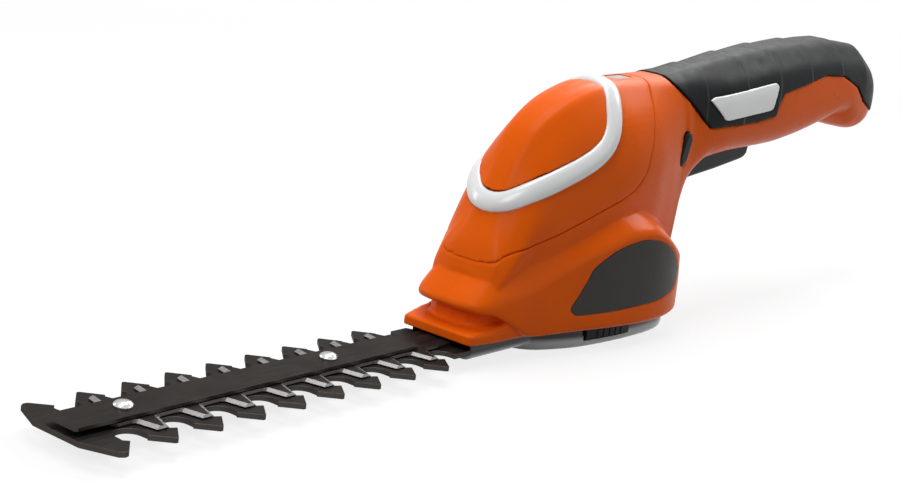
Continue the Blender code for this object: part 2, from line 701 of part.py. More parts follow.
def band_line(count=96):
    """Points of the band's centre line on the right side, nose to top, each with its place."""
    dense = spline(BAND_PATH, 24)
    found = []
    for x, height in dense:
        if not BODY_FRONT < x < 30:
            continue
        place = place_at(x, height - smile(x, 0))
        for _ in range(12):
            if place is not None:
                place = place_at(x, height - smile(x, skin_point(x, place).y)) or place
        if place is not None:
            found.append((x, place))
    found = [(found[0][0], 0.0)] + found + [(found[-1][0], 0.0)]
    points = [skin_point(*pair) for pair in found]
    lengths = [0.0]
    for a, b in zip(points, points[1:]):
        lengths.append(lengths[-1] + (b - a).length)
    even = []
    for k in range(count + 1):
        goal = lengths[-1] * k / count
        i = min(max(j for j in range(len(lengths)) if lengths[j] <= goal), len(lengths) - 2)
        t = (goal - lengths[i]) / (lengths[i + 1] - lengths[i])
        even.append(tuple(a + (b - a) * t for a, b in zip(found[i], found[i + 1])))
    return even


def evened(values, rounds):
    """A closed row of vectors, each drawn towards its neighbours."""
    for _ in range(rounds):
        values = [0.25 * values[i - 1] + 0.5 * value + 0.25 * values[(i + 1) % len(values)]
                  for i, value in enumerate(values)]
    return values


def band_form(section, every=6):
    """A ring with the given section, (across, outwards), that follows the band's line over the skin."""
    right = band_line()
    course = right + [(x, -place) for x, place in right[-2:0:-1]]
    points = [skin_point(*pair) for pair in course]
    normals = []
    for point, (x, place) in zip(points, course):
        across = skin_point(x, place + 0.5) - skin_point(x, place - 0.5)
        ahead = skin_point(x + 0.5, place) - skin_point(x - 0.5, place)
        normal = ahead.cross(across).normalized()
        normals.append(normal if normal.dot(point - Vector((x, 0, 60))) > 0 else -normal)
    points, normals = evened(points, 40)[::every], evened(normals, 60)[::every]
    bm = bmesh.new()
    rings = []
    for i, (point, normal) in enumerate(zip(points, normals)):
        run = (points[(i + 1) % len(points)] - points[i - 1]).normalized()
        outward = (normal - run * normal.dot(run)).normalized()
        sideways = outward.cross(run)
        rings.append([bm.verts.new(point + sideways * a + outward * b) for a, b in section])
    for ring, after in zip(rings, rings[1:] + rings[:1]):
        for i in range(len(section)):
            bm.faces.new((ring[i - 1], ring[i], after[i], after[i - 1]))
    return bm


def accent_band():
    """The white ring, with a D section, that lies in a groove between the cover and its dome."""
    return finish(band_form([
        (-BAND_HALF, -BAND_DEPTH), (BAND_HALF, -BAND_DEPTH), (BAND_HALF, 0.2), (3.7, 1.2), (1.3, BAND_RISE),
        (-1.3, BAND_RISE), (-3.7, 1.2), (-BAND_HALF, 0.2)]), "accent_band", "white_plastic")


WINDOW = (29.0, 42.0, 3.6)


def window_outline(grow):
    """Plan of the status window on top of the head."""
    front, rear, half = WINDOW[0] - grow, WINDOW[1] + grow, WINDOW[2] + grow
    return [(front, -half + 1), (front + 1, -half), (rear - 1, -half), (rear, -half + 1), (rear, half - 1),
            (rear - 1, half), (front + 1, half), (front, half - 1)]


def skin_bed(name, depth, outline_form, span):
    """A cutter for a bed in the skin: what lies inside the outline and above the depth."""
    bed = helper(outline_form, name)
    return cut(bed, helper(inner_loft(depth, span), name + "_floor"))


def motor_cover():
    """The front of the head, in one piece, with a tongue that reaches behind the housing's wall."""
    span = (BODY_FRONT, 56)
    cover = finish(body_loft(span=span), "motor_cover", "orange_plastic")
    cut(cover, helper(inner_loft(COVER_WALL, (BODY_FRONT, 66)), "cover_inside"))
    keep(cover, helper(side_prism(ahead_of(shifted(SEAM_LINE, SEAM)), -60, 60), "cover_region"))
    tongue = helper(inner_loft(TONGUE[0], (BODY_FRONT, 58)), "cover_tongue")
    cut(tongue, helper(inner_loft(TONGUE[1], (BODY_FRONT, 66)), "tongue_inside"))
    course = SEAM_LINE[::2]
    keep(tongue, helper(side_prism(shifted(course, 3) + shifted(course, -4)[::-1], -60, 60), "tongue_region"))
    join(cover, tongue)
    side = BAND_HALF + 0.3
    groove = band_form([(-side, -BAND_BED), (side, -BAND_BED), (side, 4), (-side, 4)])
    dome = dipped_prism(ahead_of(shifted(BAND_PATH, 2.0)))
    window = plate(window_outline(0.15), 95, 130)
    cut(cover, helper(groove, "band_groove"), skin_bed("dome_bed", DOME_BED, dome, (BODY_FRONT, 60)),
        skin_bed("window_bed", 1.2, window, (14, 60)))
    return flattened(cover, 1)


def cover_dome():
    """The crown inside the band."""
    dome = finish(body_loft(DOME_RISE, span=(BODY_FRONT, 30)), "cover_dome", "orange_plastic")
    cut(dome, helper(inner_loft(DOME_BACK, (BODY_FRONT, 40)), "dome_inside"))
    region = dipped_prism(ahead_of(shifted(BAND_PATH, BAND_HALF + 0.6)))
    return flattened(keep(dome, helper(region, "dome_region")))


def status_window():
    lens = finish(body_loft(-0.25, span=(20, 50)), "status_window", "smoked_lens")
    cut(lens, helper(inner_loft(1.05, (14, 56)), "window_inside"))
    return flattened(keep(lens, helper(plate(window_outline(0), 95, 130), "window_region")))


GRIP_EDGE = [
    (57, 122), (62, 114), (64, 110), (75, 102), (86, 93), (92, 89), (131, 90), (148, 92), (156, 103),
    (201, 110), (220, 109), (236, 103), (247, 95), (262, 89), (285, 82),
]
GRIP_BED, GRIP_BACK = 1.5, 1.2
RIDGES = (91, 124, 155, 187, 221)
RIDGE_LOW, RIDGE_HIGH = 0.4, 1.1
RIDGE_LEAN = 0.2
BADGE = [
    (90.5, 102), (93, 103.4), (146, 108.6), (148.5, 107), (144, 96.6), (142, 95.6), (104, 92.6), (101.5, 93),
]
BADGE_FACE, BADGE_BACK, BADGE_BED = 1.2, 0.2, 0.05


def swollen(outline, grow):
    """A closed outline with every corner moved out from its middle."""
    x0 = sum(x for x, _ in outline) / len(outline)
    y0 = sum(y for _, y in outline) / len(outline)
    found = []
    for x, y in outline:
        run = Vector((x - x0, y - y0)).normalized()
        found.append((x + run.x * grow, y + run.y * grow))
    return found


def grip_region(inwards=0.0):
    """The side view of the grip: everything above its lower edge."""
    return shifted(GRIP_EDGE, inwards) + [(290, 140), (50, 140)]


def ridged_loft():
    """The handle's skin with its cross ridges, which lean back towards the top."""
    levels = {60: RIDGE_LOW, 75: RIDGE_LOW + 0.2, 249: 0.8, 258: 0.8, 265: 0.8, 270.5: 0.8, 273.8: 0.8}
    for x in RIDGES:
        levels[x - 0.8] = RIDGE_HIGH
        levels[x + 0.8] = RIDGE_LOW
    for a, b in zip(RIDGES, RIDGES[1:]):
        levels[(a + b) / 2] = (RIDGE_LOW + RIDGE_HIGH) / 2
    rings = []
    for x, grow in sorted(levels.items()):
        lean = RIDGE_LEAN * min(max((262 - x) / 40, 0), 1)
        upright = half_section(x, grow)
        ring = []
        for i, (_, z) in enumerate(upright):
            place = x - lean * min(upright[0][1] - z, 28)
            ring.append((place, *half_section(place, grow)[i]))
        rings.append(ring + [(x_, -y, z) for x_, y, z in ring[-2:0:-1]])
    return loft(rings)


def grip(side, name, beds):
    """Half of the soft grip, which lies in a bed of the housing's skin."""
    rubber = finish(ridged_loft(), name, "black_rubber")
    other = sorted((-side * 60, side * GAP))
    cut(rubber, helper(inner_loft(GRIP_BACK, (50, BODY_REAR)), name + "_inside"),
        helper(block((40, other[0], 60), (300, other[1], 150)), name + "_parting"))
    keep(rubber, helper(side_prism(grip_region(SEAM), -60, 60), name + "_region"))
    return flattened(cut(rubber, *beds), 1)


def badge_plate():
    badge = finish(body_loft(BADGE_FACE, span=(76, 160)), "badge_plate", "white_plastic")
    cut(badge, helper(inner_loft(-BADGE_BACK, (70, 166)), "badge_inside"))
    return flattened(keep(badge, helper(side_prism(BADGE, -60, -3), "badge_region")))


INLAY = [
    (-16.4, 20.7), (-14.4, 18.3), (-10.9, 17.2), (6, 17.5), (25.3, 18.6), (35.5, 19.1), (42.5, 19.8),
    (49.6, 21.1), (54.7, 23.6), (57.5, 30), (52, 37), (43.5, 42.6), (34.8, 46), (25.5, 47.7),
    (17.6, 47.2), (7.2, 44.6), (-1.2, 40.4), (-6.2, 36.6), (-8.8, 32.2), (-13.3, 25.2),
]
INLAY_DEPTH = 0.9


def side_inlay():
    """The plain panel let into the left side of the skirt."""
    panel = finish(skirt_loft(), "side_inlay", "grey_plastic")
    cut(panel, helper(skirt_loft(INLAY_DEPTH, True), "inlay_inside"))
    return flattened(keep(panel, helper(side_prism(INLAY, -60, -3), "inlay_region")))


def housing_room():
    """The room inside the housing: what its bosses, ribs, shelves and ledges leave free."""
    room = helper(inner_loft(WALL), "room")
    below = helper(skirt_loft(WALL, True), "room_below")
    join(room, cut(below, helper(block((-90, -60, -5), (-33, 60, 70)), "solid_nose")))
    bosses = []
    for x, z in HOUSING_SCREWS:
        bosses.append(round_bar(4.4, (x, 0.05, z), (x, 60, z), 6))
        bosses.append(round_bar(3.6, (x, -0.05, z), (x, -60, z), 6))
    cell_ribs = helper(together(*(block((x - 0.8, -30, 92), (x + 0.8, 30, 130)) for x in (142, 166, 222))),
                       "cell_ribs")
    cut(cell_ribs, helper(round_bar(CELL_RADIUS + 0.6, (100, 0, CELL_Z), (245, 0, CELL_Z), 12), "cell_room"))
    socket_ribs = helper(together(*(block((x - 1, -30, 70), (x + 1, 30, 130)) for x in (251, 264))),
                         "socket_ribs")
    shelves = helper(together(*(block((8, -45, z), (50, 45, z + 2)) for z in (34, 54))), "motor_shelves")
    cut(shelves, helper(round_bar(MOTOR_RADIUS + 0.5, (MOTOR_X, 0, 25), (MOTOR_X, 0, 80), 16), "motor_room"))
    small = []
    for side in (LEFT, RIGHT):
        for x in (-14, 44):
            low, high = sorted((side * 16, side * 60))
            small.append(block((x, low, 22.8), (x + 6, high, 29.5)))
        low, high = sorted((side * 26.5, side * 60))
        small.append(block((LATCH_X[0], low, 11.9), (LATCH_X[1], high, 13.1)))
        for x in (158, 194):
            low, high = sorted((side * 9, side * 30))
            small.append(block((x - 1, low, 70), (x + 1, high, 88.65)))
        low, high = sorted((side * (SWITCH_HIGH[1] + 0.2), side * 30))
        small += [block((x, low, 88), (x + 2, high, 95)) for x in (110, 128)]
        small.append(round_bar(3.4, (TRIGGER_PIN[0], side * 9.3, TRIGGER_PIN[1]),
                               (TRIGGER_PIN[0], side * 60, TRIGGER_PIN[1]), 12))
    ribs = helper(together(*small), "small_ribs")
    cut(ribs, helper(block((-20, -20.3, PLATE_BOTTOM - SEATED), (60, 20.3, PLATE_TOP + SEATED)), "plate_room"))
    return cut(room, helper(together(*bosses), "screw_bosses"), cell_ribs, socket_ribs, shelves, ribs)


def socket_room(name):
    """Room for the charge socket."""
    return helper(round_bar(SOCKET_RADIUS + SEATED, (240, 0, SOCKET_Z), (268.5, 0, SOCKET_Z)), name)


def pill(grow):
    """Side view of the lock-off button."""
    lean, half, radius = radians(74), 4.6, 3.1 + grow
    found = []
    for i in range(12):
        turn = 2 * pi * (i + 0.5) / 12
        x, z = radius * sin(turn), radius * cos(turn) + (half if cos(turn) > 0 else -half)
        found.append((LOCK_CENTRE[0] + z * cos(lean) + x * sin(lean),
                      LOCK_CENTRE[1] + z * sin(lean) - x * cos(lean)))
    return found


def housing_openings():
    """Cutters for the holes of both halves: button slot, trigger slot, charge jack, pins and screws."""
    slot = side_prism([(85.2, 65.2), (91.8, 61.3), (93, 58), (153, 60), (153, 87.4), (85.2, 87.4)],
                      -TRIGGER_HALF - 0.8, TRIGGER_HALF + 0.8)
    bores = [side_prism(pill(0.35), -40, 40),
             round_bar(1.65, (TRIGGER_PIN[0], -12.4, TRIGGER_PIN[1]), (TRIGGER_PIN[0], 12.4, TRIGGER_PIN[1]), 8),
             round_bar(JACK_RADIUS + 0.8, (267, 0, SOCKET_Z), (280, 0, SOCKET_Z), 12)]
    screws = []
    bore = SCREW_SHANK + SEATED + 0.1
    for x, z in HOUSING_SCREWS:
        profile = [(0, SCREW_TIP - 0.5), (bore, SCREW_TIP - 0.5), (bore, 8), (SCREW_HEAD + 0.4, 8),
                   (SCREW_HEAD + 0.4, 60), (0, 60)]
        screws.append(turned(profile, (x, 0, z), (0, 1, 0), 8))
    return [helper(slot, "trigger_slot"), helper(together(*bores), "bores"),
            helper(together(*screws), "screw_holes"), socket_room("socket_room")]


def housing(side, name, room, openings):
    """One half of the clamshell."""
    shell = finish(body_loft(), name, "orange_plastic")
    lip, waist = lip_forms()
    join(shell, helper(skirt_loft(), name + "_skirt"), helper(lip, name + "_lip"),
         helper(waist, name + "_waist"))
    other = sorted((-side * 60, side * GAP))
    cut(shell, room, helper(block((-90, other[0], -5), (290, other[1], 150)), name + "_parting"),
        helper(side_prism(ahead_of(SEAM_LINE), -60, 60), name + "_seam"), *openings)
    if side == LEFT:
        bed = helper(side_prism(swollen(INLAY, 0.25), -60, -3), "inlay_bed")
        cut(shell, cut(bed, helper(skirt_loft(INLAY_DEPTH + 0.15, True), "inlay_bed_floor")))
    return flattened(shell, 1)


def housing_screw(name, x, z):
    profile = [(0, SCREW_TIP), (SCREW_SHANK, SCREW_TIP), (SCREW_SHANK, SCREW_SEAT), (SCREW_HEAD, SCREW_SEAT),
               (SCREW_HEAD, SCREW_SEAT + 1.4), (1.8, SCREW_SEAT + 2.0), (0, SCREW_SEAT + 2.0)]
    return finish(turned(profile, (x, 0, z), (0, 1, 0), 10), name, "bright_steel")


def lock_off_button():
    """The bar that passes across the neck and shows as a pill on both sides."""
    x0, z0 = LOCK_CENTRE
    bar = loft([[(x0 + (x - x0) * scale, y, z0 + (z - z0) * scale) for x, z in pill(0)]
                for y, scale in ((-19.4, 0.8), (-18.8, 1), (18.8, 1), (19.4, 0.8))])
    return finish(bar, "lock_off_button", "black_rubber")


TRIGGER_SIDE = [
    (86, 66), (88.5, 64), (92, 62.5), (120, 65.3), (143, 68.2), (147, 69), (149.2, 71.5), (149.8, 76),
    (149.5, 80), (120, 84), (86, 78),
]


def trigger():
    """The finger lever, which turns about the pin in its front end."""
    def ring(y, raised):
        """The side view at y, with the finger face raised along its rounded edges."""
        return [(x, y, z + (raised if z < 70 else 0)) for x, z in TRIGGER_SIDE]

    lever = loft([ring(-TRIGGER_HALF, 1.2), ring(-TRIGGER_HALF + 1.8, 0), ring(TRIGGER_HALF - 1.8, 0),
                  ring(TRIGGER_HALF, 1.2)])
    made = finish(lever, "trigger", "black_rubber", (TRIGGER_PIN[0], 0, TRIGGER_PIN[1]))
    return cut(made, helper(round_bar(1.58, (TRIGGER_PIN[0], -20, TRIGGER_PIN[1]),
                                      (TRIGGER_PIN[0], 20, TRIGGER_PIN[1])), "trigger_bore"))


def trigger_pin():
    x, z = TRIGGER_PIN
    return finish(round_bar(1.5, (x, -12, z), (x, 12, z), 12), "trigger_pin", "bright_steel")


def switch_body():
    body = finish(block(SWITCH_LOW, SWITCH_HIGH), "switch_body", "gloss_black")
    return cut(body, helper(round_bar(2.0, (PLUNGER_X, 0, 80), (PLUNGER_X, 0, 94.8)), "plunger_hole"))


def switch_plunger():
    bar = round_bar(1.9, (PLUNGER_X, 0, 84.4), (PLUNGER_X, 0, 91.2))
    return finish(bar, "switch_plunger", "white_plastic", (PLUNGER_X, 0, 88))


def battery_cell(name, x):
    """A cell with its raised contact at the front end."""
    profile = [(0, 0), (3, 0), (3, 0.6), (CELL_RADIUS - 0.6, 0.6), (CELL_RADIUS, 1.2),
               (CELL_RADIUS, CELL_LENGTH - 0.6), (CELL_RADIUS - 0.6, CELL_LENGTH), (0, CELL_LENGTH)]
    return finish(turned(profile, (x, 0, CELL_Z), (1, 0, 0)), name, "cell_wrap")


def battery():
    gap = 1.2
    battery_cell("battery_cell_front", CELL_FRONT)
    battery_cell("battery_cell_rear", CELL_FRONT + CELL_LENGTH + gap)
    link = CELL_FRONT + CELL_LENGTH + 0.35
    finish(block((link, -6, CELL_Z - 6), (link + 0.5, 6, CELL_Z + 6)), "cell_link", "bright_steel")
    board = finish(block((152, -12, 88.8), (202, 12, 90.4)), "charge_board", "board_green")
    chips = together(block((169, -6, 90), (177, 4, 91.6)), block((181, -8, 90), (190, 8, 91.6)))
    join(board, helper(chips, "board_chips"))
    profile = [(JACK_RADIUS, 268.2), (SOCKET_RADIUS, 268.2), (SOCKET_RADIUS, 247), (0, 247), (0, 258),
               (JACK_RADIUS, 258)]
    finish(turned(profile, (0, 0, SOCKET_Z), (1, 0, 0), 20), "charge_socket", "gloss_black")


def gear_outline(teeth, addendum, thin, turn, steps):
    """Plan of an involute gear whose teeth are thinned for backlash, each flank drawn in some steps."""
    pitch = MODULE * teeth / 2
    base = pitch * cos(radians(20))
    root = pitch - 1.25 * MODULE
    foot, tip = max(root, base), pitch + addendum * MODULE
    flank = [foot + (tip - foot) * i / steps for i in range(steps + 1)]

    def spread(radius):
        angle = acos(min(base / radius, 1))
        return tan(angle) - angle

    def half_angle(radius):
        return pi / (2 * teeth) - thin / (2 * pitch) + spread(pitch) - spread(radius)

    side = [(radius, half_angle(radius)) for radius in flank]
    if root < base:
        side = [(root, side[0][1])] + side
    tooth = [(radius, -angle) for radius, angle in side] + [(radius, angle) for radius, angle in side[::-1]]
    return [(radius * cos(turn + 2 * pi * k / teeth + angle), radius * sin(turn + 2 * pi * k / teeth + angle))
            for k in range(teeth) for radius, angle in tooth]


def drive_gear():
    """The large gear: its hub runs on the axle and a boss below it carries the crank pin."""
    gear = finish(plate(gear_outline(GEAR_TEETH, 0.85, 0.1, pi / GEAR_TEETH, 1), GEAR_BOTTOM, GEAR_TOP),
                  "drive_gear", "gear_steel")
    join(gear, helper(round_bar(5.6, (0, 0, 20), (0, 0, 23.9)), "gear_hub"),
         helper(round_bar(2.95, (CRANK, 0, 11.1), (CRANK, 0, 18)), "crank_boss"))
    return flattened(cut(
        gear, helper(round_bar(4.05, (0, 0, 10), (0, 0, 30)), "bush_bore"),
        helper(round_bar(CRANK_PIN + SEATED, (CRANK, 0, 10), (CRANK, 0, 30)), "crank_bore")))


def ring_piece(name, finish_name, inner, outer, x, bottom, top):
    profile = [(inner, bottom), (outer, bottom), (outer, top), (inner, top)]
    return finish(turned(profile, (x, 0, 0)), name, finish_name, (x, 0, 0))


def drive_train():
    """Gear, crank, pinion and the plate that carries them under the motor."""
    drive_gear()
    ring_piece("gear_bush", "copper_alloy", AXLE + 0.08, 3.9, 0, GEAR_BOTTOM, 23.8)
    ring_piece("crank_roller", "bright_steel", CRANK_PIN + 0.08, ROLLER, CRANK, 7.7, 10.8)
    pin = [(0, 6.9), (2.9, 6.9), (2.9, 7.5), (CRANK_PIN, 7.5), (CRANK_PIN, 21.6), (0, 21.6)]
    finish(turned(pin, (CRANK, 0, 0)), "crank_pin", "bright_steel", (0, 0, 0))
    axle = [(0, 15.0), (2.9, 15.0), (2.9, 15.6), (AXLE, 15.6), (AXLE, 27.4), (0, 27.4)]
    finish(turned(axle, (0, 0, 0)), "gear_axle", "bright_steel")
    pinion = finish(plate([(MOTOR_X + x, y) for x, y in gear_outline(PINION_TEETH, 0.9, 0.1, 0, 2)],
                          GEAR_BOTTOM, GEAR_TOP + 0.4), "pinion", "gear_steel", (MOTOR_X, 0, 0))
    flattened(cut(pinion, helper(round_bar(1.6 + SEATED, (MOTOR_X, 0, 10), (MOTOR_X, 0, 30)), "pinion_bore")))
    corners = [(-16, -14), (-10, -20), (42, -20), (48, -14), (48, 14), (42, 20), (-10, 20), (-16, 14)]
    carrier = finish(plate(corners, PLATE_BOTTOM, PLATE_TOP), "gear_plate", "bright_steel")
    holes = [round_bar(AXLE + SEATED, (0, 0, 20), (0, 0, 30)), round_bar(3.2, (MOTOR_X, 0, 20), (MOTOR_X, 0, 30))]
    holes += [round_bar(1.65, (MOTOR_X, y, 20), (MOTOR_X, y, 30), 8) for y in (-12.5, 12.5)]
    flattened(cut(carrier, helper(together(*holes), "plate_holes")))


def motor():
    """The can with its end cap, the shaft through both, and the two screws that hold it to the plate."""
    bore = 1.75
    shell = [(bore, MOTOR_BOTTOM), (MOTOR_RADIUS - 1, MOTOR_BOTTOM), (MOTOR_RADIUS, MOTOR_BOTTOM + 1),
             (MOTOR_RADIUS, MOTOR_TOP), (bore, MOTOR_TOP)]
    can = finish(turned(shell, (MOTOR_X, 0, 0), sides=24), "motor_can", "gear_steel")
    holes = [round_bar(1.65, (MOTOR_X, y, 20), (MOTOR_X, y, 32), 8) for y in (-12.5, 12.5)]
    flattened(cut(can, helper(together(*holes), "motor_threads")))
    lid = [(bore, MOTOR_TOP + 0.15), (MOTOR_RADIUS - 0.4, MOTOR_TOP + 0.15), (MOTOR_RADIUS - 0.4, 76.5),
           (8, 76.5), (7, 79), (bore, 79)]
    cap = finish(turned(lid, (MOTOR_X, 0, 0), sides=24), "motor_endcap", "gloss_black")
    tabs = together(*(block((MOTOR_X - 2, y - 0.4, 74), (MOTOR_X + 2, y + 0.4, 83)) for y in (-11, 11)))
    flattened(join(cap, helper(tabs, "motor_tabs")))
    finish(round_bar(1.6, (MOTOR_X, 0, 15.5), (MOTOR_X, 0, 80)), "motor_shaft", "bright_steel", (MOTOR_X, 0, 0))
    for name, y in (("motor_screw_left", -12.5), ("motor_screw_right", 12.5)):
        profile = [(0, 22.7), (2.6, 22.7), (2.6, 24.15), (1.5, 24.15), (1.5, 31.5), (0, 31.5)]
        finish(turned(profile, (MOTOR_X, y, 0), sides=10), name, "bright_steel")


def clear_scene():
    for obj in list(bpy.data.objects):
        bpy.data.objects.remove(obj, do_unlink=True)


def main():
    clear_scene()
    room = housing_room()
    openings = housing_openings()
    grip_bed = skin_bed("grip_bed", GRIP_BED, side_prism(grip_region(), -60, 60), (40, BODY_REAR))
    openings.append(grip_bed)
    jack = helper(round_bar(JACK_RADIUS + 0.8, (262, 0, SOCKET_Z), (280, 0, SOCKET_Z), 16), "grip_jack_hole")
    badge_bed = helper(side_prism(swollen(BADGE, 0.3), -60, -3), "badge_bed")
    cut(badge_bed, helper(inner_loft(-BADGE_BED, (60, 180)), "badge_bed_floor"))
    housing(LEFT, "housing_left", room, openings)
    housing(RIGHT, "housing_right", room, openings)
    grip(LEFT, "grip_left", (jack, badge_bed))
    grip(RIGHT, "grip_right", (jack,))
    badge_plate()
    side_inlay()
    motor_cover()
    cover_dome()
    accent_band()
    status_window()
    for number, (x, z) in enumerate(HOUSING_SCREWS, 1):
        housing_screw(f"housing_screw_{number}", x, z)
    lower_comb()
    cutter_blade()
    support_bar()
    rivet("rivet_front", RIVETS[0])
    rivet("rivet_rear", RIVETS[1])
    blade_cassette()
    for side, name in ((LEFT, "left"), (RIGHT, "right")):
        comb_screw(side, "comb_screw_" + name)
        release_button(side, "release_button_" + name)
    drive_train()
    motor()
    lock_off_button()
    trigger()
    trigger_pin()
    switch_body()
    switch_plunger()
    battery()


main()
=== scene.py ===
"""Dresses the cordless shrub shears: moulded shells, soft grip, ground blades and a studio.

Run it with blender --background --python scene.py. Sizes are in millimetres in the part's own
frame: the tool rests on Z = 0, the drive gear turns about the Z axis and the blades point along -X.
"""

from math import cos, pi, radians, sin

import bmesh
import bpy
from bpy.props import FloatProperty, FloatVectorProperty, PointerProperty
from mathutils import Matrix, Vector


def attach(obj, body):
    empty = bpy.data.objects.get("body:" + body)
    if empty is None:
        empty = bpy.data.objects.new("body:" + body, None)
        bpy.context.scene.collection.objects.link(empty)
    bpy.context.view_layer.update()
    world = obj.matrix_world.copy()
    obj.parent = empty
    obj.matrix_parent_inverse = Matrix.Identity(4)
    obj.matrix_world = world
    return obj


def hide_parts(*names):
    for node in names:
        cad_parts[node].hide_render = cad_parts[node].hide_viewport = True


bl_info = {
    "name": "Cordless Shrub Shears",
    "version": (1, 0, 0),
    "blender": (4, 5, 0),
    "location": "3D View > Sidebar > Shears",
    "description": "Models the shells, grip and blades of the shears over their packed frame",
    "category": "Object",
}

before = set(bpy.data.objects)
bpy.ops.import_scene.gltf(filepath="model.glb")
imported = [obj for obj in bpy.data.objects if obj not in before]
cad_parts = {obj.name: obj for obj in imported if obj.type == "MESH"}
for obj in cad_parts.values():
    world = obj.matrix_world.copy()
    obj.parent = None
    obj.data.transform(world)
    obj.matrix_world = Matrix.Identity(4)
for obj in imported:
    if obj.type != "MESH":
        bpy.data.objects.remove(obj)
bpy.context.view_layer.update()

MM = 0.001
LEFT, RIGHT = -1, 1

# Blade stack: the teeth along the blade, the heights of its plates, the rivets, the stroke, the
# crank and its roller that give it, and the room round a seated pin
PITCH = 20.0
TEETH = 8
FIRST_TOOTH = -240.0
COMB_BOTTOM, COMB_TOP = 6.0, 8.0
CUTTER_BOTTOM, CUTTER_TOP = 8.25, 9.45
BAR_BOTTOM, BAR_TOP = 9.7, 11.1
BAR_FRONT, BAR_REAR, BAR_HALF = -261.0, -91.0, 7.8
RIVETS = (-235.0, -135.0)
RIVET_SHANK = 2.5
STROKE = 12.0
CRANK = STROKE / 2
ROLLER, ROLLER_PLAY = 4.0, 1.35
SEATED = 0.15

# Housing: its wall, the gap round the cover, its ends, the screws from the right at (x, z), and the
# openings for the charger, the trigger and the lock-off button
WALL = 2.5
SEAM = 0.3
BODY_FRONT, BODY_REAR = -59.0, 273.0
HOUSING_SCREWS = [(-46, 24), (66, 24), (60, 100), (97, 90), (158, 84), (234, 91)]
SCREW_SHANK, SCREW_HEAD, SCREW_SEAT, SCREW_TIP = 1.5, 2.8, 8.1, -9.0
BOSS_RADIUS = 4.4
TRIGGER_SLOT = [(85.2, 65.2), (91.8, 61.3), (93, 58), (153, 60), (153, 87.4), (85.2, 87.4)]
SOCKET_Z, JACK_RADIUS = 97.0, 3.2
TRIGGER_PIN = (91.0, 74.0)
TRIGGER_HALF, TRIGGER_BORE = 8.0, 1.7
LOCK_CENTRE = (71.5, 81.0)

# Side view of the head, neck and handle: (x, height) along the top and the underside
TOP = [
    (-59, 36), (-56, 46), (-50, 58), (-44.5, 70.5), (-38, 83), (-30, 93.6), (-20, 100.6),
    (-8, 105.8), (10, 110.3), (25, 111.9), (45, 112.4), (62, 112.8), (80, 113.9), (98, 116.4),
    (130, 120.5), (167, 123.8), (210, 125.3), (240, 124), (257, 118.5), (267, 110), (272, 100),
    (273, 95),
]
UNDERSIDE = [
    (-59, 12), (71, 12), (74, 40), (76.2, 50), (80, 59.8), (88, 67.3), (99, 72), (120, 74.3),
    (160, 75.8), (180, 78.2), (200, 82), (216, 86), (226, 88.3), (231, 88.2), (238, 84),
    (246, 79.5), (254, 77.8), (262, 79), (268, 83), (272, 89), (273, 91),
]
# Plan view: the widest half width, and half the width of the top face
HALF_WIDTH = [
    (-59, 13.2), (-58.2, 15.6), (-56, 17.4), (-50, 19), (-42, 20.4), (-20, 23.2), (0, 25.5),
    (20, 26.5), (40, 25.3), (58, 21.8), (72, 18.6), (80, 17.6), (90, 18), (110, 19.2), (160, 19.8),
    (230, 19.5), (254, 17.5), (266, 14), (273, 7),
]
CREST = [
    (-59, 11), (-57, 13.4), (-54.5, 13), (-51, 11.2), (-46.5, 9), (-42, 8), (-30, 8.8), (-15, 10.2),
    (0, 11), (20, 11.6), (60, 12), (100, 11.5), (240, 12), (262, 9), (273, 4),
]
# How far the edge of the top face lies below its middle, and the height of the widest place
CREST_DROP = [
    (-59, 3), (-50, 3.5), (-30, 3.6), (20, 4), (60, 5), (90, 5), (240, 6), (262, 4), (273, 1.5),
]
BELLY = [
    (-59, 46), (-47, 51), (-25, 57), (0, 64), (25, 72), (50, 76), (75, 82), (110, 100), (273, 103),
]
# The width low on the side wall, as a share of the widest
WAIST = [
    (-59, 0.62), (-50, 0.64), (-42, 0.71), (-30, 0.8), (20, 0.82), (50, 0.86), (66, 0.93),
    (80, 0.97), (273, 0.97),
]

# Skirt: its plan from nose to tail, and further down its lower edge and its shoulder
SKIRT_PLAN = [
    (-69, 0), (-68.7, 8), (-66.2, 15.2), (-60, 19.4), (-48, 22.2), (-32, 24.4), (-12, 28.4),
    (10, 33.3), (32, 36.3), (51, 34.8), (67, 28), (77.5, 15), (79.5, 0),
]
# The plan of the crown that the shoulder rises to, point by point with the skirt's
CROWN_PLAN = [
    (-57.5, 0), (-57.4, 7.4), (-56.5, 11.5), (-52.9, 15.1), (-44.8, 17.8), (-31, 19.6), (-12, 21.7),
    (8, 23.4), (26, 23.8), (42, 22.4), (56, 19.4), (67, 12), (70, 0),
]
SKIRT_EDGE = [(-69, 22.5), (-60, 21.5), (-50, 17), (-38, 10.5), (-30, 10), (79.5, 10)]
SHOULDER = [
    (-69, 27.6), (-63.5, 28.2), (-55, 29), (-45, 30.4), (-34.4, 33.2), (-23.8, 37.7), (-13.3, 42.1),
    (-3.2, 45.9), (7.2, 49.3), (19.6, 52.3), (30.2, 52.2), (42, 48.5), (55, 42), (66, 37),
    (79.5, 34),
]
CROWN_HEIGHT = [
    (-59, 34.1), (-55.7, 36.9), (-47, 38.8), (-35.8, 42), (-24.3, 45.2), (-12.5, 48.9), (0, 53.5),
    (14, 58), (26, 59), (40, 56), (55, 49), (71, 42),
]

# Steps between the given points of a curve, those for finding a place on the skin, and the distance
# between the body's stations
FINE, SKIN_STEPS = 6, 8
STATION_STEP = 2.0
# Half of the closed joint between two moulded halves
HAIR = 0.02
# A box that reaches past the whole tool, for the forms that cut right through it
PAST_FRONT, PAST_REAR, PAST_SIDE, PAST_BOTTOM, PAST_TOP = -90, 290, 60, -5, 150
ABOVE = 140
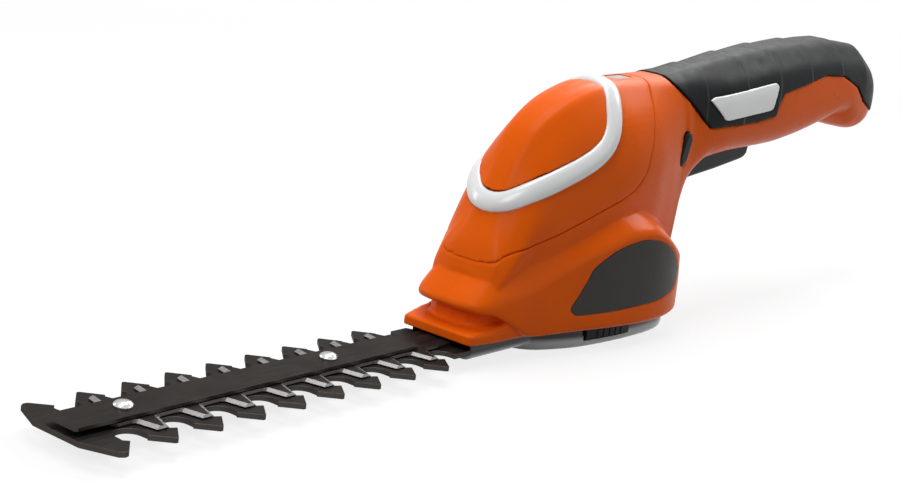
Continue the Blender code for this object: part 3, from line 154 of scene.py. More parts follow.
# The middle third of a noise's range, where nearly all of its values lie
NOISE_LOW, NOISE_HIGH = 0.3, 0.7


def along(points, x):
    """Height at x of a smooth curve through the points that never overshoots them."""
    last = len(points) - 1
    if x <= points[0][0]:
        return points[0][1]
    if x >= points[last][0]:
        return points[last][1]
    k = max(i for i in range(last) if points[i][0] <= x)

    def chord(i):
        return (points[i + 1][1] - points[i][1]) / (points[i + 1][0] - points[i][0])

    def slope(i):
        if i == 0:
            return chord(0)
        if i == last:
            return chord(last - 1)
        before, after = chord(i - 1), chord(i)
        return 0 if before * after <= 0 else 2 * before * after / (before + after)

    step = points[k + 1][0] - points[k][0]
    t = (x - points[k][0]) / step
    return (
        (1 + 2 * t) * (1 - t) ** 2 * points[k][1]
        + t * (1 - t) ** 2 * step * slope(k)
        + t * t * (3 - 2 * t) * points[k + 1][1]
        - t * t * (1 - t) * step * slope(k + 1)
    )


def moved(points, x, grow, outward=1):
    """Height at x of the same curve moved by grow along its normal, where outward is up or down."""
    if not grow:
        return along(points, x)
    reach = abs(grow)
    offsets = [reach * cos(pi * i / 8) for i in range(9)]
    heights = [outward * along(points, x + d) + (reach**2 - d**2 if d**2 < reach**2 else 0) ** 0.5
               * (1 if grow > 0 else -1) for d in offsets]
    return outward * (max(heights) if grow > 0 else min(heights))


def spline(points, steps, closed=False):
    """Points of a smooth curve through the given ones."""
    count = len(points)
    found = []
    for i in range(count if closed else count - 1):
        a, b, c, d = (points[(i + k) % count] if closed else points[min(max(i + k, 0), count - 1)]
                      for k in (-1, 0, 1, 2))
        for step in range(steps):
            t = step / steps
            found.append(tuple(
                0.5 * (2 * q + (r - p) * t + (2 * p - 5 * q + 4 * r - s) * t**2
                       + (3 * q - p - 3 * r + s) * t**3)
                for p, q, r, s in zip(a, b, c, d)))
    if not closed:
        found.append(tuple(points[-1]))
    return found


def half_section(x, grow=0.0, steps=FINE):
    """(y, z) of the body's outline at x, from the top down one side to the underside."""
    top = moved(TOP, x, grow)
    bottom = moved(UNDERSIDE, x, grow, -1)
    wide = moved(HALF_WIDTH, x, grow)
    crest = min(moved(CREST, x, grow), 0.8 * wide)
    shoulder = top - along(CREST_DROP, x)
    belly = min(along(BELLY, x), bottom + 0.62 * (shoulder - bottom))
    side = [
        (0, top),
        (0.55 * crest, top - 0.12 * along(CREST_DROP, x)),
        (crest, shoulder),
        (crest + 0.68 * (wide - crest), shoulder - 0.4 * (shoulder - belly)),
        (wide, belly),
        (along(WAIST, x) * wide, belly - 0.65 * (belly - bottom)),
        (0.62 * wide, bottom + 0.05 * (belly - bottom)),
        (0, bottom),
    ]
    # The neighbours past each end are the mirrored ones, so the outline crosses the middle level
    ends = [(-side[1][0], side[1][1])] + side + [(-side[-2][0], side[-2][1])]
    return spline(ends, steps)[steps:-steps]


def placed(name, data):
    """A new object of the scene with the given data."""
    obj = bpy.data.objects.new(name, data)
    bpy.context.scene.collection.objects.link(obj)
    return obj


def solid(bm, name):
    """Turns a bmesh in millimetres into an object in metres that keeps its place in its mesh."""
    bmesh.ops.remove_doubles(bm, verts=bm.verts, dist=1e-4)
    bmesh.ops.recalc_face_normals(bm, faces=bm.faces)
    bmesh.ops.scale(bm, vec=(MM, MM, MM), verts=bm.verts)
    mesh = bpy.data.meshes.new(name)
    bm.to_mesh(mesh)
    bm.free()
    return placed(name, mesh)


def settled(obj):
    """Makes what the object's modifiers give its mesh."""
    evaluated = obj.evaluated_get(bpy.context.evaluated_depsgraph_get())
    mesh = bpy.data.meshes.new_from_object(evaluated)
    old = obj.data
    obj.modifiers.clear()
    obj.data = mesh
    bpy.data.meshes.remove(old)
    return obj


def boolean(obj, form, operation):
    """Cuts an object with a form, joins it to one or keeps what they share."""
    tool = solid(form, "tool")
    step = obj.modifiers.new("step", "BOOLEAN")
    step.operation = operation
    step.object = tool
    step.solver = "MANIFOLD"
    settled(obj)
    bpy.data.objects.remove(tool)
    return obj


def cut(obj, *forms):
    """Takes the forms away from the object."""
    for form in forms:
        boolean(obj, form, "DIFFERENCE")
    return obj


def join(obj, *forms):
    """Adds the forms to the object."""
    for form in forms:
        boolean(obj, form, "UNION")
    return obj


def keep(obj, form):
    """Keeps what the object shares with the form."""
    return boolean(obj, form, "INTERSECT")


def form_of(obj):
    """Takes an object's mesh back as a form in millimetres, and removes the object."""
    bm = bmesh.new()
    bm.from_mesh(obj.data)
    bmesh.ops.scale(bm, vec=(1 / MM, 1 / MM, 1 / MM), verts=bm.verts)
    bpy.data.objects.remove(obj)
    return bm


def softened(obj, voxel, rounds):
    """Gives a moulded piece even faces and rounded edges."""
    grid = obj.modifiers.new("grid", "REMESH")
    grid.mode = "VOXEL"
    grid.voxel_size = voxel * MM
    grid.use_smooth_shade = True
    evening = obj.modifiers.new("evening", "SMOOTH")
    evening.factor = 0.5
    evening.iterations = rounds
    settled(obj)
    obj.data.shade_smooth()
    return obj


def crisp(obj, angle=50):
    """Shades a smooth form that has sharp cuts in it."""
    obj.data.shade_smooth()
    obj.data.set_sharp_from_angle(angle=radians(angle))
    return obj


def parted(whole, names):
    """Splits a piece along the middle plane into a left and a right half, which meet closely."""
    halves = []
    for side, name in zip((LEFT, RIGHT), names):
        half = placed(name, whole.data.copy())
        far = sorted((-side * PAST_SIDE, side * HAIR))
        halves.append(crisp(cut(half, block((PAST_FRONT, far[0], PAST_BOTTOM),
                                            (PAST_REAR, far[1], PAST_TOP)))))
    bpy.data.objects.remove(whole)
    return halves


def edged(obj, width, segments=2, angle=35):
    """Rounds the sharp edges of a hard piece."""
    bm = bmesh.new()
    bm.from_mesh(obj.data)
    bmesh.ops.remove_doubles(bm, verts=bm.verts, dist=1e-6)
    bmesh.ops.dissolve_limit(bm, angle_limit=radians(1), verts=bm.verts, edges=bm.edges)
    sharp = [edge for edge in bm.edges
             if len(edge.link_faces) == 2 and edge.calc_face_angle() > radians(angle)]
    bmesh.ops.bevel(bm, geom=sharp, offset=width * MM, offset_type="OFFSET", segments=segments,
                    profile=0.5, affect="EDGES", material=-1, clamp_overlap=True)
    bm.to_mesh(obj.data)
    bm.free()
    return crisp(obj, 12)


def loft(rings, ridged=False):
    """A solid through the rings, made by drawing its end face on from each ring to the next.

    A ridged one starts and ends at a line instead of a face.
    """
    bm = bmesh.new()
    start = end = bm.faces.new([bm.verts.new(point) for point in rings[0]])
    for i, ring in enumerate(rings[1:]):
        made = bmesh.ops.extrude_face_region(bm, geom=[end], use_keep_orig=True)
        if i:
            bmesh.ops.delete(bm, geom=[end], context="FACES_ONLY")
        end = next(part for part in made["geom"] if isinstance(part, bmesh.types.BMFace))
        for vertex, point in zip(end.verts, ring):
            vertex.co = point
    if ridged:
        bmesh.ops.delete(bm, geom=[start, end], context="FACES_ONLY")
        bmesh.ops.remove_doubles(bm, verts=bm.verts, dist=1e-4)
    return bm


def plate(outline, bottom, top):
    """A flat plate whose plan is the outline."""
    return loft([[(x, y, z) for x, y in outline] for z in (bottom, top)])


def side_prism(outline, low=-PAST_SIDE, high=PAST_SIDE):
    """A prism whose side view is the outline, from low to high along Y or through the tool."""
    return loft([[(x, y, z) for x, z in outline] for y in (low, high)])


def left_prism(outline):
    """The prism on the left side alone, for what is let into that side."""
    return side_prism(outline, high=-3)


def round_bar(radius, start, end, sides=48):
    """A round bar between two points."""
    start, end = Vector(start), Vector(end)
    bm = bmesh.new()
    bmesh.ops.create_cone(bm, cap_ends=True, segments=sides, radius1=radius, radius2=radius,
                          depth=(end - start).length)
    turn = (end - start).to_track_quat("Z", "Y").to_matrix().to_4x4()
    bmesh.ops.transform(bm, matrix=Matrix.Translation((start + end) / 2) @ turn, verts=bm.verts)
    return bm


def block(low, high):
    """A box between two corners."""
    bm = bmesh.new()
    bmesh.ops.create_cube(bm, size=1)
    size = [b - a for a, b in zip(low, high)]
    middle = [(a + b) / 2 for a, b in zip(low, high)]
    bmesh.ops.scale(bm, vec=size, verts=bm.verts)
    bmesh.ops.translate(bm, vec=middle, verts=bm.verts)
    return bm


def turned(profile, axis_point, axis=(0, 0, 1), sides=48):
    """A solid of revolution whose closed profile is given as (radius, distance along the axis)."""
    bm = bmesh.new()
    points = [bm.verts.new((radius, 0, height)) for radius, height in profile]
    edges = [bm.edges.new(pair) for pair in zip(points, points[1:] + points[:1])]
    bmesh.ops.spin(
        bm, geom=points + edges, cent=(0, 0, 0), axis=(0, 0, 1), angle=2 * pi, steps=sides,
        use_merge=True, use_duplicate=False)
    bmesh.ops.remove_doubles(bm, verts=bm.verts, dist=1e-4)
    bmesh.ops.delete(bm, geom=[edge for edge in bm.edges if not edge.link_faces], context="EDGES")
    turn = Vector(axis).to_track_quat("Z", "Y").to_matrix().to_4x4()
    bmesh.ops.transform(bm, matrix=Matrix.Translation(axis_point) @ turn, verts=bm.verts)
    return bm


def shifted(path, distance):
    """An open path in a plane, moved to its left by the distance."""
    found = []
    for i, (x, y) in enumerate(path):
        before, after = path[max(i - 1, 0)], path[min(i + 1, len(path) - 1)]
        run = Vector((after[0] - before[0], after[1] - before[1])).normalized()
        found.append((x - run.y * distance, y + run.x * distance))
    return found


def body_stations():
    """Places along the body, closer together towards both ends."""
    reach = (BODY_REAR - BODY_FRONT) / 2
    middle = (BODY_REAR + BODY_FRONT) / 2
    count = int(2 * reach / STATION_STEP)
    eased = [sin(pi / 2 * (2 * i / count - 1)) for i in range(count + 1)]
    even = [2 * i / count - 1 for i in range(count + 1)]
    return [middle + reach * (0.5 * a + 0.5 * b) for a, b in zip(eased, even)]


def body_loft(grow=0.0, span=(BODY_FRONT, BODY_REAR)):
    """The head, neck and handle as one form, or a length of it."""
    front = span[0] - grow if span[0] == BODY_FRONT else span[0]
    rear = span[1] + grow if span[1] == BODY_REAR else span[1]
    rings = []
    for x in (front, *(x for x in body_stations() if front + 0.2 < x < rear - 0.2), rear):
        section = half_section(x, grow)
        rings.append([(x, y, z) for y, z in section] + [(x, -y, z) for y, z in section[-2:0:-1]])
    return loft(rings)


def plan_curve(points):
    """A half plan from nose to tail, which crosses the middle square to it."""
    ends = [(points[1][0], -points[1][1])] + list(points) + [(points[-2][0], -points[-2][1])]
    return spline(ends, FINE)[FINE:-FINE]


def drawn_in(curve, inset):
    """The half plan moved inwards by the inset."""
    found = []
    for i, (x, y) in enumerate(curve):
        before = curve[i - 1] if i else (curve[1][0], -curve[1][1])
        after = curve[i + 1] if i + 1 < len(curve) else (curve[-2][0], -curve[-2][1])
        run = Vector((after[0] - before[0], after[1] - before[1])).normalized()
        found.append((x + run.y * inset, max(y - run.x * inset, 0)))
    return found


def full_plan(curve):
    """Both sides of a half plan that starts and ends on the middle line."""
    return list(curve) + [(x, -y) for x, y in curve[-2:0:-1]]


def mirrored(half):
    """Both sides of a half plan that stays off the middle line."""
    return half + [(x, -y) for x, y in reversed(half)]


def skirt_loft(inset=0.0, open_below=False):
    """The wide foot of the housing, whose shoulder sweeps up towards the rear."""
    plan = drawn_in(plan_curve(SKIRT_PLAN), inset)
    crown_plan = drawn_in(plan_curve(CROWN_PLAN), inset)

    def edge(x):
        return along(SKIRT_EDGE, x)

    def shoulder(x):
        return along(SHOULDER, x) - inset

    def crown(x):
        return along(CROWN_HEIGHT, x) - inset

    def ring(share, height):
        """Rim a share of the way from the skirt's plan to the crown's, both as heights over x."""
        rim = [(x + share * (u - x), y + share * (v - y), height(x, u))
               for (x, y), (u, v) in zip(plan, crown_plan)]
        return rim + [(x, -y, z) for x, y, z in rim[-2:0:-1]]

    def folded(rim):
        """The ring laid on the middle plane, where the form closes along a line."""
        return [(x, 0, z) for x, _, z in rim]

    def wall(x, share, above):
        """A height a share of the way up the wall, at most the given distance above its foot or,
        where that is negative, below its shoulder."""
        tall = shoulder(x) - edge(x)
        if above < 0:
            return shoulder(x) - min((1 - share) * tall, -above)
        return edge(x) + min(share * tall, above)

    def slope(share):
        """Height of the top, which rises evenly from the shoulder to the crown and beyond it."""
        start = 0.12
        risen = start + (1 - start) * (share - 0.3) / 0.7
        return lambda x, u: shoulder(x) + risen * (crown(u) - shoulder(x))

    foot = ring(0, lambda x, u: 2.0) if open_below else ring(0.1, lambda x, u: edge(x))
    top = ring(1.3, slope(1.3))
    return loft([
        folded(foot),
        foot,
        ring(0, lambda x, u: wall(x, 0.25, 1.5)),
        ring(0.02, lambda x, u: wall(x, 0.5, 100)),
        ring(0.08, lambda x, u: wall(x, 0.7, -2.6)),
        ring(0.17, lambda x, u: wall(x, 0.9, -0.6)),
        ring(0.3, slope(0.3)),
        top,
        folded(top),
    ], ridged=True)


# The nose plate and half its plan, and half the plan of the waist behind it
LIP_FRONT, LIP_REAR = -71.5, -34.0
LIP_BOTTOM, LIP_EDGE, LIP_FRONT_TOP, LIP_RISE = 10, 13.4, 14.2, 4.3
WAIST_BOTTOM, WAIST_TOP = 12, 26
LIP_PLAN = [(-71.5, 16.6), (-70.4, 17.8), (-58, 20), (-34, 21.2)]
WAIST_PLAN = [(-63.5, 0), (-63, 8), (-60, 13), (-50, 16), (-30, 17.5), (-30, 0)]


def lip_forms():
    """The nose plate over the blade's exit, and the waist between it and the skirt."""
    half = [(LIP_FRONT, 0)] + LIP_PLAN + [(LIP_REAR, 0)]

    def ring(scale, height):
        return [(x, y * scale, height(x)) for x, y in full_plan(half)]

    def top(x):
        return LIP_FRONT_TOP + LIP_RISE * (x - LIP_FRONT) / (LIP_REAR - LIP_FRONT)

    lip = loft([ring(1, lambda x: LIP_BOTTOM), ring(1, lambda x: LIP_EDGE), ring(0.96, top)])
    return lip, plate(full_plan(WAIST_PLAN), WAIST_BOTTOM, WAIST_TOP)


GAP_RADIUS, GAP_CENTRE = 5.13, 14.4
# A guard tooth of the comb, a tooth of the cutter's cutting face and what the grinding leaves of it
# on top, as distances from the tooth's place and from the middle line
GUARD_TOOTH = [(0.9, 17.7), (0, 18.2), (6.2, 25.2), (7.2, 25.2), (13, 18.2), (10.7, 17)]
CUTTER_FRONT, CUTTER_ROOT = -246.0, 8.5
FACE_TOOTH = [(1.6, CUTTER_ROOT), (2.9, CUTTER_ROOT + 0.7), (4.8, 17.4), (9.8, 17.4),
              (12.9, CUTTER_ROOT + 0.7), (14.2, CUTTER_ROOT)]
GRIND = 1.75
TOP_TOOTH = [(1.6 + GRIND, CUTTER_ROOT - 0.5), (2.9 + GRIND, CUTTER_ROOT), (4.8 + GRIND, 17.0),
             (9.8 - GRIND, 17.0), (12.9 - GRIND, CUTTER_ROOT), (14.2 - GRIND, CUTTER_ROOT - 0.5)]
YOKE_HALF, YOKE_REAR = 15.0, 17.0
# Heights below and above the cutter, between which its slots are cut
SLOT_LOW, SLOT_HIGH = 7.5, 10.5


def comb_outline():
    """Half of the fixed comb's plan, from the tip to the tongue, and then its mirror image."""
    def gap(x):
        """The round root between two teeth, centred at x."""
        turns = [pi * i / 18 for i in range(19)]
        return [(x - GAP_RADIUS * cos(turn), GAP_CENTRE - GAP_RADIUS * sin(turn)) for turn in turns]

    tip = FIRST_TOOTH
    half = [(tip - 22.7, 11.5), (tip - 17.4, 24.6), (tip - 15.6, 25.8), (tip - 13.9, 25.4),
            (tip - 8.0, 19.0), (tip - 9.8, 17.4)]
    half += gap(tip - 4.45)
    for k in range(TEETH):
        x = FIRST_TOOTH + k * PITCH
        half += [(x + a, y) for a, y in GUARD_TOOTH] + gap(x + 15.78)
    shoulder = FIRST_TOOTH + TEETH * PITCH + 1
    return mirrored(half + [(shoulder, 17), (-69.5, 17), (-67.5, 13), (-24, 13)])


def riveted(name, outline, bottom, top):
    """A flat fixed plate with the holes for the rivets."""
    made = solid(plate(outline, bottom, top), name)
    for x in RIVETS:
        cut(made, round_bar(RIVET_SHANK + SEATED, (x, 0, bottom - 1), (x, 0, top + 1)))
    return made


def comb_plate():
    """The fixed plate with blunt guard teeth."""
    return edged(riveted("comb_plate", comb_outline(), COMB_BOTTOM, COMB_TOP), 0.22)


def cutter_rings():
    """The cutter's plan at its cutting face, and the narrower one that grinding leaves on top."""
    face = [(CUTTER_FRONT, 6.5), (CUTTER_FRONT + 2, CUTTER_ROOT)]
    crown = list(face)
    for k in range(TEETH):
        x = FIRST_TOOTH + k * PITCH
        face += [(x + a, y) for a, y in FACE_TOOTH]
        crown += [(x + a, y) for a, y in TOP_TOOTH]
    yoke_front = CRANK - ROLLER - ROLLER_PLAY - 5
    rear = [(-80, CUTTER_ROOT), (yoke_front - 8, CUTTER_ROOT), (yoke_front, YOKE_HALF),
            (YOKE_REAR, YOKE_HALF)]
    return mirrored(face + rear), mirrored(crown + rear)


def cutter_plate():
    """The moving plate with its ground teeth."""
    face, crown = cutter_rings()
    cutter = solid(loft([
        [(x, y, CUTTER_BOTTOM) for x, y in face],
        [(x, y, CUTTER_BOTTOM + 0.3) for x, y in face],
        [(x, y, CUTTER_TOP) for x, y in crown],
    ]), "cutter_plate")

    def slot(front, rear, half):
        corners = [(front, -half), (rear, -half), (rear, half), (front, half)]
        cut(cutter, plate(corners, SLOT_LOW, SLOT_HIGH))

    play = RIVET_SHANK + 0.3
    for x in RIVETS:
        slot(x - play, x + STROKE + play, play)
    slot(CRANK - ROLLER - ROLLER_PLAY, CRANK + ROLLER + ROLLER_PLAY, CRANK + ROLLER + 0.5)
    return edged(cutter, 0.06, 1)


def top_bar():
    """The fixed bar over the cutter, with its front corners taken off."""
    trim = 0.8
    outline = [(BAR_FRONT, -BAR_HALF + trim), (BAR_FRONT + trim, -BAR_HALF), (BAR_REAR, -BAR_HALF),
               (BAR_REAR, BAR_HALF), (BAR_FRONT + trim, BAR_HALF), (BAR_FRONT, BAR_HALF - trim)]
    return edged(riveted("top_bar", outline, BAR_BOTTOM, BAR_TOP), 0.3)


def rivet_piece(name, x):
    """A shouldered rivet with a polished dome."""
    head, dome = 3.6, 2.3
    low, high = COMB_BOTTOM - 0.05, BAR_TOP + 0.05
    profile = [(0, low - 1.25), (3.1, low - 1.25), (3.4, low - 0.95), (3.4, low),
               (RIVET_SHANK, low), (RIVET_SHANK, high), (head, high)]
    profile += [(head * cos(pi / 2 * i / 12), BAR_TOP + 0.4 + (dome - 0.4) * sin(pi / 2 * i / 12))
                for i in range(12)]
    profile.append((0, BAR_TOP + dome))
    return crisp(solid(turned(profile, (x, 0, 0)), name), 30)


# Half the plan of the base tray
CASSETTE_PLAN = [
    (-33, 0), (-31.5, 8), (-26, 15.5), (-16, 20.5), (0, 25), (25, 27.5), (48, 27.5), (63, 24.5),
    (74, 15), (77, 0),
]
CASSETTE_TOP = 11.6
# Height of the tray's floor, and the length of the tray's wall that each latch arm takes
FLOOR = 2.5
LATCH_X = (6.0, 24.0)
TONGUE_BED, MOUTH_HALF, MOUTH_REAR = 13.4, 17.4, -67.2
# The buttons' pads: where their outline follows the tray's, how far they stand proud of it, their
# inner face, their heights and the places of their grooves. Below them are the tray's openings for
# the pads, and the ledges in the shells that the latch arms hook over
PAD_PLACES = (0.4, 4, 8, 11.5, 15, 18.5, 22, 26, 29.6)
PAD_PROUD, PAD_INNER, PAD_LOW, PAD_HIGH = 1.0, 22.5, 3.7, 9.3
RIB_PLACES = (7, 11, 15, 19, 23)
OPENING_MIDDLE, OPENING_HALF, OPENING_LOW, OPENING_HIGH = 27, 7, 3.3, 9.7
LEDGE_INNER, LEDGE_LOW, LEDGE_HIGH = 26.5, 11.9, 13.1


def base_tray():
    """The glossy base: a tray with a round rim, and the block that grips the comb."""
    plan = plan_curve(CASSETTE_PLAN)

    def ring(inset, z):
        return [(x, y, z) for x, y in full_plan(drawn_in(plan, inset))]

    tray = solid(loft([ring(2.8, 0), ring(1.1, 0.5), ring(0.2, 1.9), ring(0, 3.5), ring(0.4, 7),
                       ring(1.0, CASSETTE_TOP)]), "base_tray")
    flange_plan = [(x, y) for x, y in drawn_in(plan_curve(SKIRT_PLAN), 3.6) if -30 < x and 1 < y]
    flange = mirrored([(x, -y) for x, y in flange_plan])
    block_plan = [(-68, -14.4), (-67, -15.4), (-22, -15.4), (-22, 15.4), (-67, 15.4), (-68, 14.4)]
    join(tray, plate(flange, 10.3, CASSETTE_TOP),
         loft([[(x, 0.93 * y, 3.0) for x, y in block_plan], [(x, y, 4.2) for x, y in block_plan],
               [(x, y, 9.6) for x, y in block_plan]]))
    softened(tray, 0.5, 3)
    low = COMB_BOTTOM - SEAM
    cut(tray, loft([ring(2.7, FLOOR), ring(2.7, CASSETTE_TOP + 1)]),
        block((-75, -TONGUE_BED, low), (-20, TONGUE_BED, 12)),
        block((-75, -MOUTH_HALF, low), (MOUTH_REAR, MOUTH_HALF, 12)))
    for side in (LEFT, RIGHT):
        middle = side * OPENING_MIDDLE
        cut(tray, block((0, middle - OPENING_HALF, OPENING_LOW),
                        (30, middle + OPENING_HALF, OPENING_HIGH)),
            block((LATCH_X[0] - 2, side * 30 - 10.6, 9), (LATCH_X[1] + 2, side * 30 + 10.6, 13)))
    return crisp(tray)


def release_pad(side, name):
    """A button pad in the tray's wall with finger ridges, and its latch arm."""
    plan = [(x, along(CASSETTE_PLAN, x) + PAD_PROUD) for x in PAD_PLACES]
    pad = [(PAD_PLACES[0], PAD_INNER)] + plan + [(PAD_PLACES[-1], PAD_INNER)]
    button = solid(plate([(x, side * y) for x, y in pad], PAD_LOW, PAD_HIGH), name)
    arm = sorted((side * 22.8, side * 24.8))
    hook = sorted((side * 24.0, side * 28.3))
    join(button, block((LATCH_X[0] + 1, arm[0], 8), (LATCH_X[1] - 1, arm[1], 15.2)),
         block((LATCH_X[0] + 2, hook[0], 13.4), (LATCH_X[1] - 2, hook[1], 14.9)))
    for x in RIB_PLACES:
        face = side * (along(CASSETTE_PLAN, x) + PAD_PROUD)
        cut(button, round_bar(0.55, (x, face, 2), (x, face, 11), 16))
    return edged(button, 0.3, 2, 50)


# Side views of the seam between cover and shells and of the middle of the band
SEAM_LINE = [
    (-75, 36.5), (-59, 39), (-53.5, 44), (-47.4, 47), (-36.9, 49.6), (-25.2, 52.4), (-13.3, 56.2),
    (-1, 60.3), (11, 63.8), (21.6, 68), (29, 74.8), (33.8, 84), (37.8, 92), (41.6, 100), (45, 108),
    (48.6, 116), (52.6, 130),
]
COVER_WALL = 3.4
BAND_PATH = [
    (-75, 58.2), (-58, 63.6), (-47, 67.2), (-42.5, 69), (-36.2, 71.6), (-25.8, 75.6), (-14, 79.6),
    (-4, 83.8), (3, 88.3), (8, 94.5), (11.8, 102), (14.5, 106.5), (17.5, 111), (20.5, 118),
    (24, 130),
]
BAND_DEPTH, BAND_RISE = 1.3, 2.6
BAND_BED, DOME_BED = 1.6, 2.0
DOME_RISE, DOME_BACK = 0.6, 1.7
# Half the width of the band where it stands out of its groove, and the steps along its right side
BAND_SEEN, BAND_STEPS = 4.4, 96
SMILE, SMILE_HALF = 4.0, 15.0


def ahead_of(path):
    """The side view of all that is above and in front of a path from low front to high rear."""
    return list(path) + [(path[-1][0], ABOVE), (PAST_FRONT, ABOVE), (PAST_FRONT, path[0][1])]


def smile(x, y):
    """How far the band and its edges dip across the nose."""
    share = min(max((-20 - x) / 20, 0), 1)
    return share * SMILE * max(0, 1 - (y / SMILE_HALF) ** 2)


def dipped_prism(outline):
    """A prism along Y whose outline dips across the nose as the band does."""
    levels = (-PAST_SIDE, *(0.8 * i - 16 for i in range(41)), PAST_SIDE)
    return loft([[(x, y, z - smile(x, y)) for x, z in outline] for y in levels])


def skin_point(x, place):
    """A point of the body's skin at x: place counts along its half section from the top."""
    section = half_section(x, 0, SKIN_STEPS)
    side = -1 if place < 0 else 1
    place = abs(place)
    i = min(int(place), len(section) - 2)
    t = place - i
    y, z = (a + (b - a) * t for a, b in zip(section[i], section[i + 1]))
    return Vector((x, side * y, z))


def place_at(x, height):
    """Where the half section at x has the height, or None above its top."""
    section = half_section(x, 0, SKIN_STEPS)
    for i in range(len(section) // 2):
        if section[i + 1][1] <= height <= section[i][1]:
            return i + (section[i][1] - height) / (section[i][1] - section[i + 1][1])
    return None


def band_line():
    """Points of the band's centre line on the right side, nose to top, each with its place."""
    dense = spline(BAND_PATH, 24)
    found = []
    for x, height in dense:
        if not BODY_FRONT < x < 30:
            continue
        place = place_at(x, height - smile(x, 0))
        for _ in range(12):
            if place is not None:
                place = place_at(x, height - smile(x, skin_point(x, place).y)) or place
        if place is not None:
            found.append((x, place))
    found = [(found[0][0], 0.0)] + found + [(found[-1][0], 0.0)]
    points = [skin_point(*pair) for pair in found]
    lengths = [0.0]
    for a, b in zip(points, points[1:]):
        lengths.append(lengths[-1] + (b - a).length)
    even = []
    for k in range(BAND_STEPS + 1):
        goal = lengths[-1] * k / BAND_STEPS
        i = min(max(j for j in range(len(lengths)) if lengths[j] <= goal), len(lengths) - 2)
        t = (goal - lengths[i]) / (lengths[i + 1] - lengths[i])
        even.append(tuple(a + (b - a) * t for a, b in zip(found[i], found[i + 1])))
    return even


def evened(values, rounds):
    """A closed row of vectors, each drawn towards its neighbours."""
    for _ in range(rounds):
        values = [0.25 * values[i - 1] + 0.5 * value + 0.25 * values[(i + 1) % len(values)]
                  for i, value in enumerate(values)]
    return values


def band_form(section):
    """A ring along the band's line over the skin, whose section is given as (across, outwards)."""
    right = band_line()
    course = right + [(x, -place) for x, place in right[-2:0:-1]]
    points = [skin_point(*pair) for pair in course]
    normals = []
    for point, (x, place) in zip(points, course):
        across = skin_point(x, place + 0.5) - skin_point(x, place - 0.5)
        ahead = skin_point(x + 0.5, place) - skin_point(x - 0.5, place)
        normal = ahead.cross(across).normalized()
        normals.append(normal if normal.dot(point - Vector((x, 0, 60))) > 0 else -normal)
    points, normals = evened(points, 40), evened(normals, 60)
    bm = bmesh.new()
    rings = []
    for i, (point, normal) in enumerate(zip(points, normals)):
        run = (points[(i + 1) % len(points)] - points[i - 1]).normalized()
        outward = (normal - run * normal.dot(run)).normalized()
        sideways = outward.cross(run)
        rings.append([bm.verts.new(point + sideways * a + outward * b) for a, b in section])
    for ring, after in zip(rings, rings[1:] + rings[:1]):
        for i in range(len(section)):
            bm.faces.new((ring[i - 1], ring[i], after[i], after[i - 1]))
    return bm


# Front, rear and half width of the window, and two heights with the top of the head between them
WINDOW = (29.0, 42.0, 3.6)
WINDOW_LEVELS = (95, 130)


def window_form(grow):
    """An upright form with the plan of the status window on top of the head."""
    front, rear, half = WINDOW[0] - grow, WINDOW[1] + grow, WINDOW[2] + grow
    plan = [(front, -half + 1), (front + 1, -half), (rear - 1, -half), (rear, -half + 1),
            (rear, half - 1), (rear - 1, half), (front + 1, half), (front, half - 1)]
    return plate(plan, *WINDOW_LEVELS)


def skin_bed(depth, outline_form, span):
    """A cutter for a bed in the skin: what lies inside the outline and above the depth."""
    return form_of(cut(solid(outline_form, "bed"), body_loft(-depth, span)))


def nose_cover():
    """The front of the head, with the groove for the band and the bed of the dome."""
    cover = solid(body_loft(span=(BODY_FRONT, 56)), "nose_cover")
    keep(cover, side_prism(ahead_of(shifted(SEAM_LINE, SEAM))))
    softened(cover, 0.5, 3)
    side = BAND_SEEN + 0.06
    groove = band_form([(-side, -BAND_BED), (side, -BAND_BED), (side, 4), (-side, 4)])
    cut(cover, body_loft(-COVER_WALL, (BODY_FRONT, 66)), groove,
        skin_bed(DOME_BED, dipped_prism(ahead_of(shifted(BAND_PATH, 2.0))), (BODY_FRONT, 60)),
        skin_bed(1.2, window_form(0.15), (14, 60)))
    return crisp(cover)


def crown_dome():
    """The crown inside the band."""
    dome = solid(body_loft(DOME_RISE, (BODY_FRONT, 30)), "crown_dome")
    keep(dome, dipped_prism(ahead_of(shifted(BAND_PATH, BAND_SEEN))))
    softened(dome, 0.45, 4)
    return crisp(cut(dome, body_loft(-DOME_BACK, (BODY_FRONT, 40))))


def white_band():
    """The ring with a D section that lies in a groove round the crown."""
    count = 14
    arc = [(BAND_SEEN * cos(pi * i / count), BAND_RISE * sin(pi * i / count) ** 0.9)
           for i in range(count + 1)]
    section = [(-BAND_SEEN, -BAND_DEPTH), (BAND_SEEN, -BAND_DEPTH)] + arc
    return crisp(solid(band_form(section), "white_band"), 45)


def status_lens():
    """The small window on top of the head."""
    lens = solid(body_loft(-0.25, (20, 50)), "status_lens")
    cut(lens, body_loft(-1.05, (14, 56)))
    keep(lens, window_form(0))
    return softened(lens, 0.2, 3)


# Side view of the grip's lower edge
GRIP_EDGE = [
    (57, 122), (62, 114), (64, 110), (75, 102), (86, 93), (92, 89), (131, 90), (148, 92),
    (156, 103), (201, 110), (220, 109), (236, 103), (247, 95), (262, 89), (285, 82),
]
GRIP_BED, GRIP_BACK = 1.5, 1.2
# Where the grip's ridges stand, how far they and the valleys rise, and how they lean
RIDGES = (91, 124, 155, 187, 221)
RIDGE_LOW, RIDGE_HIGH = 0.4, 1.1
RIDGE_LEAN = 0.2
# Side view of the plain plate, and how far its face, back and bed stand off the skin
BADGE = [
    (90.5, 102), (93, 103.4), (146, 108.6), (148.5, 107), (144, 96.6), (142, 95.6), (104, 92.6),
    (101.5, 93),
]
BADGE_FACE, BADGE_BACK, BADGE_BED = 1.2, 0.2, 0.05


